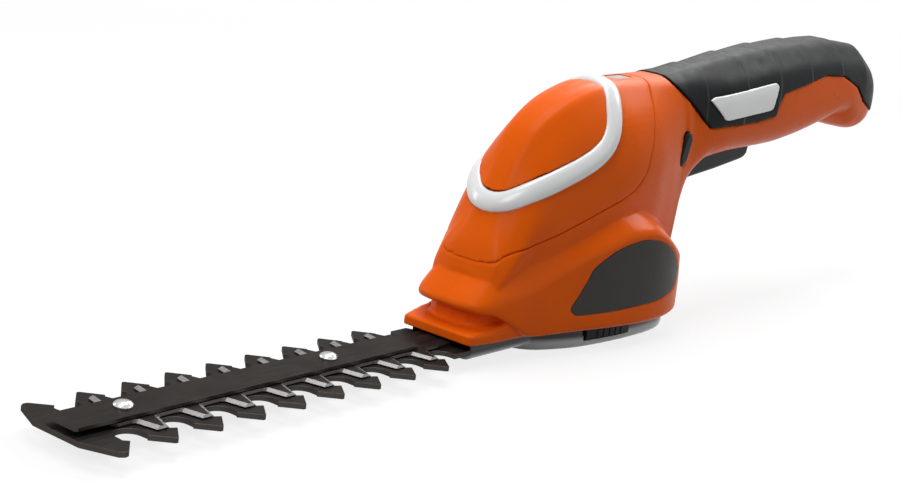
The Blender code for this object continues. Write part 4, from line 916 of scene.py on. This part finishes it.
def swollen(outline, grow):
    """A closed outline with every corner moved out from its middle."""
    x0 = sum(x for x, _ in outline) / len(outline)
    y0 = sum(y for _, y in outline) / len(outline)
    found = []
    for x, y in outline:
        run = Vector((x - x0, y - y0)).normalized()
        found.append((x + run.x * grow, y + run.y * grow))
    return found


def grip_region(inwards=0.0):
    """The side view of the grip: everything above its lower edge."""
    return shifted(GRIP_EDGE, inwards) + [(PAST_REAR, ABOVE), (50, ABOVE)]


def ridged_loft():
    """The handle's skin with its cross ridges, which lean back towards the top."""
    levels = {60: RIDGE_LOW, 75: RIDGE_LOW + 0.2, 273.8: 0.8}
    levels.update({248 + 1.6 * i: 0.8 for i in range(16)})
    for x in RIDGES:
        levels[x - 0.8] = RIDGE_HIGH
        levels[x + 0.8] = RIDGE_LOW
    for a, b in zip(RIDGES, RIDGES[1:]):
        levels[(a + b) / 2] = (RIDGE_LOW + RIDGE_HIGH) / 2
    rings = []
    for x, grow in sorted(levels.items()):
        lean = RIDGE_LEAN * min(max((262 - x) / 40, 0), 1)
        upright = half_section(x, grow)
        ring = []
        for i, (_, z) in enumerate(upright):
            place = x - lean * min(upright[0][1] - z, 28)
            ring.append((place, *half_section(place, grow)[i]))
        rings.append(ring + [(x_, -y, z) for x_, y, z in ring[-2:0:-1]])
    return loft(rings)


def jack_hole():
    """The opening for the charger's plug at the end of the handle."""
    return round_bar(JACK_RADIUS + 0.8, (262, 0, SOCKET_Z), (280, 0, SOCKET_Z))


def grip_skins():
    """The two halves of the soft grip, which lie in a bed of the shells' skin."""
    rubber = solid(ridged_loft(), "grip")
    cut(rubber, jack_hole())
    keep(rubber, side_prism(grip_region(SEAM)))
    bed = solid(left_prism(swollen(BADGE, 0.3)), "bed")
    cut(rubber, form_of(cut(bed, body_loft(BADGE_BED, (60, 180)))))
    softened(rubber, 0.5, 3)
    cut(rubber, body_loft(-GRIP_BACK, (50, BODY_REAR)))
    return parted(rubber, ("grip_skin_left", "grip_skin_right"))


def side_plate():
    """The plain plate on the left of the grip."""
    made = solid(body_loft(BADGE_FACE, (76, 160)), "side_plate")
    cut(made, body_loft(BADGE_BACK, (70, 166)))
    keep(made, left_prism(BADGE))
    return softened(made, 0.3, 4)


# Side view of the plain panel
INLAY = [
    (-16.4, 20.7), (-14.4, 18.3), (-10.9, 17.2), (6, 17.5), (25.3, 18.6), (35.5, 19.1),
    (42.5, 19.8), (49.6, 21.1), (54.7, 23.6), (57.5, 30), (52, 37), (43.5, 42.6), (34.8, 46),
    (25.5, 47.7), (17.6, 47.2), (7.2, 44.6), (-1.2, 40.4), (-6.2, 36.6), (-8.8, 32.2),
    (-13.3, 25.2),
]
INLAY_DEPTH = 0.9


def skirt_panel():
    """The plain panel let into the left side of the skirt."""
    panel = solid(skirt_loft(), "skirt_panel")
    cut(panel, skirt_loft(INLAY_DEPTH, True))
    keep(panel, left_prism(spline(INLAY, 4, True)))
    return softened(panel, 0.35, 3)


def pill(grow):
    """Side view of the lock-off button."""
    lean, half, radius = radians(74), 4.6, 3.1 + grow
    found = []
    for i in range(32):
        turn = 2 * pi * (i + 0.5) / 32
        x, z = radius * sin(turn), radius * cos(turn) + (half if cos(turn) > 0 else -half)
        found.append((LOCK_CENTRE[0] + z * cos(lean) + x * sin(lean),
                      LOCK_CENTRE[1] + z * sin(lean) - x * cos(lean)))
    return found


def shell_room():
    """The room inside the shells, less the ledges that the latch arms hook over."""
    room = solid(body_loft(-WALL), "room")
    nose = block((PAST_FRONT, -PAST_SIDE, PAST_BOTTOM), (-33, PAST_SIDE, 70))
    join(room, form_of(cut(solid(skirt_loft(WALL, True), "below"), nose)))
    for side in (LEFT, RIGHT):
        low, high = sorted((side * LEDGE_INNER, side * PAST_SIDE))
        cut(room, block((LATCH_X[0], low, LEDGE_LOW), (LATCH_X[1], high, LEDGE_HIGH)))
    return form_of(room)


def shell_openings(shell):
    """Cuts the trigger's slot, the lock-off's bore, the charge jack and the screw wells."""
    slot = side_prism(TRIGGER_SLOT, -TRIGGER_HALF - 0.8, TRIGGER_HALF + 0.8)
    cut(shell, slot, side_prism(pill(0.35), -40, 40), jack_hole())
    for x, z in HOUSING_SCREWS:
        cut(shell, round_bar(SCREW_HEAD + 0.3, (x, 8, z), (x, PAST_SIDE, z), 32))


def shell_halves():
    """The two halves of the clamshell."""
    shell = solid(body_loft(), "shell")
    lip, waist = lip_forms()
    join(shell, skirt_loft(), lip, waist)
    shell_openings(shell)
    bed = solid(left_prism(spline(swollen(INLAY, 0.25), 4, True)), "bed")
    cut(shell, side_prism(ahead_of(SEAM_LINE)),
        skin_bed(GRIP_BED, side_prism(grip_region()), (40, BODY_REAR)),
        form_of(cut(bed, skirt_loft(INLAY_DEPTH + 0.15, True))))
    softened(shell, 0.65, 3)
    room = solid(shell_room(), "room")
    for x, z in HOUSING_SCREWS:
        cut(room, round_bar(BOSS_RADIUS, (x, 0, z), (x, PAST_SIDE, z), 24))
    cut(shell, form_of(room))
    return parted(shell, ("shell_left", "shell_right"))


def shell_screw(name, x, z):
    """A pan head screw with a six-lobed recess."""
    profile = [(0, SCREW_TIP), (SCREW_SHANK, SCREW_TIP), (SCREW_SHANK, SCREW_SEAT),
               (SCREW_HEAD, SCREW_SEAT), (SCREW_HEAD, SCREW_SEAT + 1.3),
               (SCREW_HEAD - 0.5, SCREW_SEAT + 1.8), (0, SCREW_SEAT + 2.0)]
    screw = solid(turned(profile, (x, 0, z), (0, 1, 0), 32), name)
    lobes = []
    for i in range(24):
        turn = 2 * pi * i / 24
        radius = 1.25 + 0.25 * cos(6 * turn)
        lobes.append((x + radius * cos(turn), z + radius * sin(turn)))
    return crisp(cut(screw, side_prism(lobes, SCREW_SEAT + 0.6, SCREW_SEAT + 3)), 30)


def lock_pill():
    """The bar that passes across the neck and shows as a pill on both sides."""
    u, v = LOCK_CENTRE

    def ring(y, scale):
        return [(u + (x - u) * scale, y, v + (z - v) * scale) for x, z in pill(0)]

    rings = [ring(-19.4, 0.8), ring(-18.8, 1), ring(18.8, 1), ring(19.4, 0.8)]
    return softened(solid(loft(rings), "lock_pill"), 0.35, 5)


# Side view of the trigger
TRIGGER_SIDE = [
    (86, 66), (88.5, 64), (92, 62.5), (120, 65.3), (143, 68.2), (147, 69), (149.2, 71.5),
    (149.8, 76), (149.5, 80), (120, 84), (86, 78),
]


def finger_lever():
    """The lever under the handle, with a rounded finger face."""
    def ring(y, inset):
        return [(x, y, z + (inset if z < 70 else 0)) for x, z in TRIGGER_SIDE]

    half = TRIGGER_HALF
    lever = solid(loft([ring(-half, 1.4), ring(-half + 0.7, 0.5), ring(-half + 2, 0),
                        ring(half - 2, 0), ring(half - 0.7, 0.5), ring(half, 1.4)]), "finger_lever")
    softened(lever, 0.45, 4)
    x, z = TRIGGER_PIN
    return crisp(cut(lever, round_bar(TRIGGER_BORE, (x, -20, z), (x, 20, z))))


def node_tree(name):
    """A new material with its node tree, its shader and its object coordinates."""
    made = bpy.data.materials.new(name)
    made.use_nodes = True
    tree = made.node_tree
    shader = tree.nodes["Principled BSDF"]
    place = tree.nodes.new("ShaderNodeTexCoord").outputs["Object"]
    return made, tree, shader, place


def added(tree, kind, values=None, links=None):
    """A new node of the kind, with values given to its inputs and sockets linked to them."""
    made = tree.nodes.new("ShaderNode" + kind)
    for name, value in (values or {}).items():
        made.inputs[name].default_value = value
    for name, socket in (links or {}).items():
        tree.links.new(socket, made.inputs[name])
    return made


def noise(tree, place, size, detail=3.0, stretch=None):
    """Noise whose patches are about size millimetres across."""
    if stretch:
        place = added(tree, "Mapping", {"Scale": stretch}, {"Vector": place}).outputs["Vector"]
    values = {"Scale": 1 / (size * MM), "Detail": detail}
    return added(tree, "TexNoise", values, {"Vector": place}).outputs["Fac"]


def spread(tree, value, low, high, start=NOISE_LOW, end=NOISE_HIGH):
    """A value's range from start to end carried onto the one from low to high."""
    values = {"From Min": start, "From Max": end, "To Min": low, "To Max": high}
    return added(tree, "MapRange", values, {"Value": value}).outputs["Result"]


def blended(tree, factor, first, second):
    """A colour that goes from the first to the second."""
    mix = tree.nodes.new("ShaderNodeMix")
    mix.data_type = "RGBA"
    mix.inputs["A"].default_value = (*first, 1)
    mix.inputs["B"].default_value = (*second, 1)
    tree.links.new(factor, mix.inputs["Factor"])
    return mix.outputs["Result"]


def tinted(tree, shader, value, colour, share):
    """Varies the base colour a share lighter and darker by a noise."""
    darker = [c * (1 - share) for c in colour]
    lighter = [min(c * (1 + share), 1) for c in colour]
    mix = blended(tree, spread(tree, value, 0, 1), darker, lighter)
    tree.links.new(mix, shader.inputs["Base Color"])


def roughened(tree, shader, value, low, high):
    """Varies the roughness by a noise."""
    tree.links.new(spread(tree, value, low, high), shader.inputs["Roughness"])


def raised(tree, shader, height, depth, strength=1.0):
    """Raises the surface by a 0 to 1 value times a depth in millimetres."""
    bump = added(tree, "Bump", {"Strength": strength, "Distance": depth * MM}, {"Height": height})
    tree.links.new(bump.outputs["Normal"], shader.inputs["Normal"])


def plastic(name, colour, roughness, grain, depth, coat=0.0, gloss=0.5):
    """Moulded plastic: fine grain, faint clouding and uneven gloss."""
    made, tree, shader, place = node_tree(name)
    tinted(tree, shader, noise(tree, place, 30, 2), colour, 0.035)
    roughened(tree, shader, noise(tree, place, 9, 4), roughness - 0.04, roughness + 0.05)
    raised(tree, shader, noise(tree, place, grain, 2), depth)
    shader.inputs["Coat Weight"].default_value = coat
    shader.inputs["Coat Roughness"].default_value = 0.12
    shader.inputs["Specular IOR Level"].default_value = gloss
    return made


def rubber(name, colour):
    """Soft overmould: a fine stipple, low gloss and a trace of sheen."""
    made, tree, shader, place = node_tree(name)
    tinted(tree, shader, noise(tree, place, 14, 3), colour, 0.12)
    roughened(tree, shader, noise(tree, place, 5, 4), 0.36, 0.48)
    cells = added(tree, "TexVoronoi", {"Scale": 1 / (0.8 * MM)}, {"Vector": place})
    raised(tree, shader, cells.outputs["Distance"], 0.05, 0.6)
    shader.inputs["Sheen Weight"].default_value = 0.01
    shader.inputs["Sheen Roughness"].default_value = 0.4
    shader.inputs["Specular IOR Level"].default_value = 0.06
    return made


def coated_steel(name, colour):
    """Blade steel under a dark low-friction coating, with rolling marks along the blade."""
    made, tree, shader, place = node_tree(name)
    marks = noise(tree, place, 1.0, 4, (0.06, 1, 1))
    tinted(tree, shader, noise(tree, place, 18, 4), colour, 0.12)
    roughened(tree, shader, marks, 0.31, 0.47)
    raised(tree, shader, marks, 0.01)
    shader.inputs["Metallic"].default_value = 1.0
    shader.inputs["Specular Tint"].default_value = (0.42, 0.42, 0.42, 1)
    return made


def ground_steel(name, colour, roughness, stretch=(1, 1, 1), depth=0.015):
    """Bare steel with the fine lines of a grinding wheel, or with even marks if unstretched."""
    made, tree, shader, place = node_tree(name)
    lines = noise(tree, place, 0.35, 3, stretch)
    tinted(tree, shader, lines, colour, 0.14)
    roughened(tree, shader, lines, roughness, roughness + 0.18)
    raised(tree, shader, lines, depth)
    shader.inputs["Metallic"].default_value = 1.0
    shader.inputs["Specular Tint"].default_value = (0.5, 0.5, 0.5, 1)
    return made


def smoked_lens(name, colour):
    """Dark, glossy clear plastic."""
    made, tree, shader, place = node_tree(name)
    tinted(tree, shader, noise(tree, place, 4, 2), colour, 0.06)
    raised(tree, shader, noise(tree, place, 2.5, 1), 0.02)
    shader.inputs["Roughness"].default_value = 0.12
    shader.inputs["Coat Weight"].default_value = 0.6
    return made


def gloss_tray(name, rim, wall):
    """Glossy plastic: a painted reflection in the rim's colour at its foot, the wall's colour above
    it.
    """
    made, tree, shader, place = node_tree(name)
    height = added(tree, "SeparateXYZ", links={"Vector": place}).outputs["Z"]
    # Painted reflection: the pale rim colour below 3.4 mm fades out by 6.2 mm, standing in for the
    # floor reflected in the gloss
    painted_reflection_fade = added(tree, "MapRange", {"From Min": 3.4 * MM, "From Max": 6.2 * MM}, {"Value": height})
    painted_reflection_fade.interpolation_type = "SMOOTHSTEP"
    tree.links.new(blended(tree, painted_reflection_fade.outputs["Result"], rim, wall), shader.inputs["Base Color"])
    roughened(tree, shader, noise(tree, place, 9, 3), 0.06, 0.12)
    raised(tree, shader, noise(tree, place, 0.9, 2), 0.003)
    shader.inputs["Specular IOR Level"].default_value = 0.3
    return made


def finish_named(name):
    """The finish of that name, made once from the panel's colours."""
    if name in bpy.data.materials:
        return bpy.data.materials[name]
    looks = bpy.context.scene.shears_looks
    makers = {
        "moulded_orange": lambda: plastic(name, looks.orange, looks.gloss, 2.6, 0.004, gloss=0.05),
        "band_white": lambda: plastic(name, looks.white, 0.24, 0.8, 0.003, 0.3),
        "plate_white": lambda: plastic(name, (0.90, 0.91, 0.92), 0.34, 0.8, 0.003),
        "grip_rubber": lambda: rubber(name, looks.grip),
        "trigger_black": lambda: plastic(name, (0.007, 0.0075, 0.008), 0.3, 0.8, 0.003, gloss=0.1),
        # The tray's pale foot colour is a painted reflection of the white floor over glossy black
        # plastic
        "tray_black": lambda: gloss_tray(name, (0.66, 0.68, 0.70), (0.003, 0.0035, 0.004)),
        "panel_grey": lambda: plastic(name, looks.panel, 0.45, 0.8, 0.005, gloss=0.1),
        "pad_grey": lambda: plastic(name, (0.008, 0.008, 0.009), 0.4, 0.8, 0.005, gloss=0.1),
        "blade_coating": lambda: coated_steel(name, looks.blade),
        "tooth_grind": lambda: ground_steel(name, (0.24, 0.237, 0.23), 0.4, (1, 0.08, 1)),
        "polished_steel": lambda: ground_steel(name, (0.62, 0.62, 0.61), 0.08, depth=0.002),
        "plated_steel": lambda: ground_steel(name, (0.5, 0.49, 0.47), 0.28),
        "bronze_bush": lambda: ground_steel(name, (0.55, 0.32, 0.14), 0.3),
        "cell_sleeve": lambda: plastic(name, (0.02, 0.12, 0.30), 0.3, 1.2, 0.01),
        "board_green": lambda: plastic(name, (0.01, 0.11, 0.045), 0.4, 0.4, 0.01),
        "window_lens": lambda: smoked_lens(name, (0.20, 0.18, 0.19)),
    }
    return makers[name]()


def dressed(obj, finish_name, body, slot_name, *nodes):
    """Gives a new piece its finish and its body, and hides the nodes that it stands for. The slot
    name is not used.
    """
    obj.data.materials.clear()
    obj.data.materials.append(finish_named(finish_name))
    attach(obj, body)
    if nodes:
        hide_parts(*nodes)
    return obj


# The finishes of the CAD nodes that stay as they are
KEPT_NODES = {
    "polished_steel": ("comb_screw_left", "comb_screw_right", "crank_pin", "crank_roller",
                       "gear_axle", "motor_shaft", "motor_screw_left", "motor_screw_right",
                       "trigger_pin", "cell_link"),
    "plated_steel": ("drive_gear", "pinion", "gear_plate", "motor_can"),
    "bronze_bush": ("gear_bush",),
    "trigger_black": ("motor_endcap", "switch_body", "charge_socket"),
    "plate_white": ("switch_plunger",),
    "cell_sleeve": ("battery_cell_front", "battery_cell_rear"),
    "board_green": ("charge_board",),
}


def colour(name, description, default):
    """A colour that a user may change."""
    return FloatVectorProperty(name=name, description=description, subtype="COLOR", size=3,
                               min=0, max=1, default=default)


def power(name, description, default):
    """The power of a light that a user may change."""
    return FloatProperty(name=name, description=description, unit="POWER", min=0, default=default)


class ShearsLooks(bpy.types.PropertyGroup):
    """Colours and gloss of the finishes."""

    orange: colour("Orange", "Colour of the moulded shells", (0.82, 0.118, 0.004))
    white: colour("Band white", "Colour of the band round the crown", (0.80, 0.81, 0.82))
    grip: colour("Grip", "Colour of the soft grip", (0.007, 0.008, 0.009))
    panel: colour("Panel", "Colour of the panel on the skirt", (0.052, 0.050, 0.047))
    blade: colour("Blade coating", "Colour of the coated blades", (0.052, 0.047, 0.043))
    gloss: FloatProperty(name="Shell roughness", description="Roughness of the orange shells",
                         min=0, max=1, default=0.30)


class ShearsStage(bpy.types.PropertyGroup):
    """Sizes and strengths of the studio."""

    lens: FloatProperty(name="Lens", description="Focal length of the camera", unit="CAMERA",
                        min=10, max=200, default=69.561)
    key: power("Key light", "Power of the large soft light in front of the blade", 3.8)
    top: power("Top light", "Power of the soft light overhead", 8.0)
    fill: power("Fill light", "Power of the weak light on the near side", 0.7)
    rim: power("Rim light", "Power of the strip light behind the handle", 8.0)
    edge: power("Edge light", "Power of the narrow light on the far side of the nose", 1.6)
    surround: FloatProperty(name="Surround", description="Strength of the even light from the room",
                            min=0, default=0.16)


# Place and size of each light, the point that they look at, and the floor's half width and how far
# it lies below the tool, all in metres
LIGHTS = {
    "key": ((-0.90, -0.10, 0.75), (0.4, 0.5)),
    "top": ((0.00, 0.22, 1.15), (0.9, 0.5)),
    "fill": ((0.30, -0.75, 0.30), (0.5, 0.5)),
    "rim": ((0.85, 0.10, 0.72), (1.0, 0.30)),
    "edge": ((-0.45, 0.85, 0.30), (0.15, 0.45)),
}
LIT_POINT = Vector((0.02, 0, 0.06))
PAPER_HALF, PAPER_DROP = 4, 0.0002


def area_light(name, place, size, power):
    """A soft box that looks at the middle of the shears."""
    lamp = bpy.data.lights.new(name, "AREA")
    lamp.shape = "RECTANGLE"
    lamp.size, lamp.size_y = size
    lamp.energy = power
    obj = placed(name, lamp)
    obj.location = place
    obj.rotation_euler = (LIT_POINT - Vector(place)).to_track_quat("-Z", "Y").to_euler()


# Distances from the shears, in metres: the floor shows their shadow out to the first and is plain
# white from the second
SHADOW_REACH, WHITE_FROM = 0.45, 1.1
# The camera that took the photograph: its place in metres and its axes
CAMERA_PLACE = (-0.60630, -0.40880, 0.21271)
CAMERA_RIGHT = (0.6248959, -0.77073227, 0.12440613)
CAMERA_DOWN = (-0.11023012, -0.24485724, -0.96327268)
CAMERA_AHEAD = (0.77288708, 0.58823184, -0.2379682)


def set_camera(lens):
    """The camera where the photograph was taken, from the pitch of the blade's teeth in it."""
    shot = bpy.data.cameras.new("camera")
    shot.sensor_fit = "HORIZONTAL"
    shot.sensor_width = 36
    shot.lens = lens
    shot.clip_start = 0.01
    camera = placed("camera", shot)
    axes = Matrix((CAMERA_RIGHT, -Vector(CAMERA_DOWN), -Vector(CAMERA_AHEAD))).transposed()
    camera.matrix_world = Matrix.Translation(CAMERA_PLACE) @ axes.to_4x4()
    bpy.context.scene.camera = camera


def computed(tree, operation, first, second):
    """The result of one sum on two sockets."""
    made = added(tree, "Math", links={0: first, 1: second})
    made.operation = operation
    return made.outputs[0]


def seen_value(tree):
    """1 for what the eye, a reflection or clear plastic shows, and 0 for light on the shears."""
    path = added(tree, "LightPath")
    value = path.outputs["Is Camera Ray"]
    for name in ("Is Glossy Ray", "Is Transmission Ray"):
        value = computed(tree, "MAXIMUM", value, path.outputs[name])
    return value


def floor_paper():
    """Paper that shows white to the eye, keeps part of the shadow and gives little light back."""
    made, tree, shader, place = node_tree("floor_paper")
    seen = seen_value(tree)
    shade = spread(tree, seen, 0.35, 0.97, 0, 1)
    grey = added(tree, "CombineColor", links={"Red": shade, "Green": shade, "Blue": shade})
    tree.links.new(grey.outputs["Color"], shader.inputs["Base Color"])
    roughened(tree, shader, noise(tree, place, 3, 2), 0.88, 0.94)
    shader.inputs["Specular IOR Level"].default_value = 0.0
    reach = added(tree, "VectorMath", links={0: place})
    reach.operation = "LENGTH"
    fading = spread(tree, reach.outputs["Value"], 0.8, 1.0, SHADOW_REACH, WHITE_FROM)
    white = added(tree, "Emission", {"Strength": 1.0})
    both = added(tree, "MixShader", links={"Fac": computed(tree, "MULTIPLY", fading, seen),
                                           1: shader.outputs[0], 2: white.outputs[0]})
    tree.links.new(both.outputs[0], tree.nodes["Material Output"].inputs["Surface"])
    return made


class SHEARS_OT_stage(bpy.types.Operator):
    """Set the camera, the pale floor, the lights and the room"""

    bl_idname = "shears.stage"
    bl_label = "Stage"

    def execute(self, context):
        stage = context.scene.shears_stage
        set_camera(stage.lens)
        context.scene.view_settings.view_transform = "Standard"
        bm = bmesh.new()
        bmesh.ops.create_grid(bm, x_segments=2, y_segments=2, size=PAPER_HALF)
        bmesh.ops.translate(bm, vec=(0, 0, -PAPER_DROP), verts=bm.verts)
        mesh = bpy.data.meshes.new("floor")
        bm.to_mesh(mesh)
        bm.free()
        floor = placed("floor", mesh)
        floor.data.materials.append(floor_paper())
        room = bpy.data.worlds.new("room")
        room.use_nodes = True
        tree = room.node_tree
        background = tree.nodes["Background"]
        background.inputs["Color"].default_value = (1, 1, 1, 1)
        strength = spread(tree, seen_value(tree), stage.surround, 1.0, 0, 1)
        tree.links.new(strength, background.inputs["Strength"])
        context.scene.world = room
        for name, (place, size) in LIGHTS.items():
            area_light(name + "_light", place, size, getattr(stage, name))
        return {"FINISHED"}


class SHEARS_OT_shells(bpy.types.Operator):
    """Model the two halves of the moulded housing and their screws"""

    bl_idname = "shears.shells"
    bl_label = "Housing shells"

    def execute(self, context):
        left, right = shell_halves()
        dressed(left, "moulded_orange", "casing", "orange_plastic", "housing_left")
        dressed(right, "moulded_orange", "casing", "orange_plastic", "housing_right")
        for number, (x, z) in enumerate(HOUSING_SCREWS, 1):
            dressed(shell_screw(f"shell_screw_{number}", x, z), "plated_steel", "casing",
                    "bright_steel", f"housing_screw_{number}")
        return {"FINISHED"}


class SHEARS_OT_head(bpy.types.Operator):
    """Model the cover of the head, its crown, the white band and the window"""

    bl_idname = "shears.head"
    bl_label = "Head"

    def execute(self, context):
        dressed(nose_cover(), "moulded_orange", "casing", "orange_plastic", "motor_cover")
        dressed(crown_dome(), "moulded_orange", "casing", "orange_plastic", "cover_dome")
        dressed(white_band(), "band_white", "casing", "white_plastic", "accent_band")
        dressed(status_lens(), "window_lens", "casing", "smoked_lens", "status_window")
        return {"FINISHED"}


class SHEARS_OT_grip(bpy.types.Operator):
    """Model the soft grip and the two plain panels on the left side"""

    bl_idname = "shears.grip"
    bl_label = "Grip and panels"

    def execute(self, context):
        left, right = grip_skins()
        dressed(left, "grip_rubber", "casing", "black_rubber", "grip_left")
        dressed(right, "grip_rubber", "casing", "black_rubber", "grip_right")
        dressed(side_plate(), "plate_white", "casing", "white_plastic", "badge_plate")
        dressed(skirt_panel(), "panel_grey", "casing", "grey_plastic", "side_inlay")
        return {"FINISHED"}


class SHEARS_OT_blades(bpy.types.Operator):
    """Model the comb, the ground cutter, the bar and the rivets"""

    bl_idname = "shears.blades"
    bl_label = "Blades"

    def execute(self, context):
        dressed(comb_plate(), "blade_coating", "casing", "dark_steel", "lower_comb")
        cutter = dressed(cutter_plate(), "blade_coating", "cutter", "dark_steel", "cutter_blade")
        cutter.data.materials.append(finish_named("tooth_grind"))
        for face in cutter.data.polygons:
            beyond_root = abs(face.center.y) > (CUTTER_ROOT + 0.8) * MM
            if 0.2 < face.normal.z < 0.92 and face.area > 2 * MM**2 and beyond_root:
                face.material_index = 1
        dressed(top_bar(), "blade_coating", "casing", "dark_steel", "support_bar")
        for name, x in (("front", RIVETS[0]), ("rear", RIVETS[1])):
            dressed(rivet_piece("rivet_dome_" + name, x), "polished_steel", "casing",
                    "bright_steel", "rivet_" + name)
        return {"FINISHED"}


class SHEARS_OT_base(bpy.types.Operator):
    """Model the glossy base tray and its release pads"""

    bl_idname = "shears.base"
    bl_label = "Base tray"

    def execute(self, context):
        dressed(base_tray(), "tray_black", "casing", "gloss_black", "blade_cassette")
        for side, name in ((LEFT, "left"), (RIGHT, "right")):
            dressed(release_pad(side, "release_pad_" + name), "pad_grey", "release_" + name,
                    "grey_plastic", "release_button_" + name)
        return {"FINISHED"}


class SHEARS_OT_controls(bpy.types.Operator):
    """Model the trigger and the lock-off button"""

    bl_idname = "shears.controls"
    bl_label = "Controls"

    def execute(self, context):
        dressed(finger_lever(), "trigger_black", "trigger_lever", "black_rubber", "trigger")
        dressed(lock_pill(), "trigger_black", "lock_off", "black_rubber", "lock_off_button")
        return {"FINISHED"}


class SHEARS_OT_inner_works(bpy.types.Operator):
    """Give the pieces of the drive, switch and battery their finishes"""

    bl_idname = "shears.inner_works"
    bl_label = "Inner works"

    def execute(self, context):
        for finish_name, nodes in KEPT_NODES.items():
            for node in nodes:
                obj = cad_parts[node]
                obj.data.materials.clear()
                obj.data.materials.append(finish_named(finish_name))
        return {"FINISHED"}


class SHEARS_PT_panel(bpy.types.Panel):
    """Lists the steps that dress the shears"""

    bl_label = "Shears"
    bl_space_type = "VIEW_3D"
    bl_region_type = "UI"
    bl_category = "Shears"

    def draw(self, context):
        for group in (context.scene.shears_looks, context.scene.shears_stage):
            for name in group.bl_rna.properties.keys():
                if name not in ("rna_type", "name"):
                    self.layout.prop(group, name)
        for step in STEPS:
            self.layout.operator(step.bl_idname)


STEPS = (
    SHEARS_OT_stage,
    SHEARS_OT_shells,
    SHEARS_OT_head,
    SHEARS_OT_grip,
    SHEARS_OT_blades,
    SHEARS_OT_base,
    SHEARS_OT_controls,
    SHEARS_OT_inner_works,
)
CLASSES = (ShearsLooks, ShearsStage, *STEPS, SHEARS_PT_panel)


def register():
    """Adds the add-on's classes and the scene's two groups of settings."""
    for made in CLASSES:
        bpy.utils.register_class(made)
    bpy.types.Scene.shears_looks = PointerProperty(type=ShearsLooks)
    bpy.types.Scene.shears_stage = PointerProperty(type=ShearsStage)


def unregister():
    """Takes the settings and the classes away again."""
    del bpy.types.Scene.shears_looks
    del bpy.types.Scene.shears_stage
    for made in reversed(CLASSES):
        bpy.utils.unregister_class(made)


def main():
    """Dresses the shears step by step."""
    register()
    bpy.ops.shears.stage()
    bpy.ops.shears.shells()
    bpy.ops.shears.head()
    bpy.ops.shears.grip()
    bpy.ops.shears.blades()
    bpy.ops.shears.base()
    bpy.ops.shears.controls()
    bpy.ops.shears.inner_works()


if __name__ == "__main__":
    main()
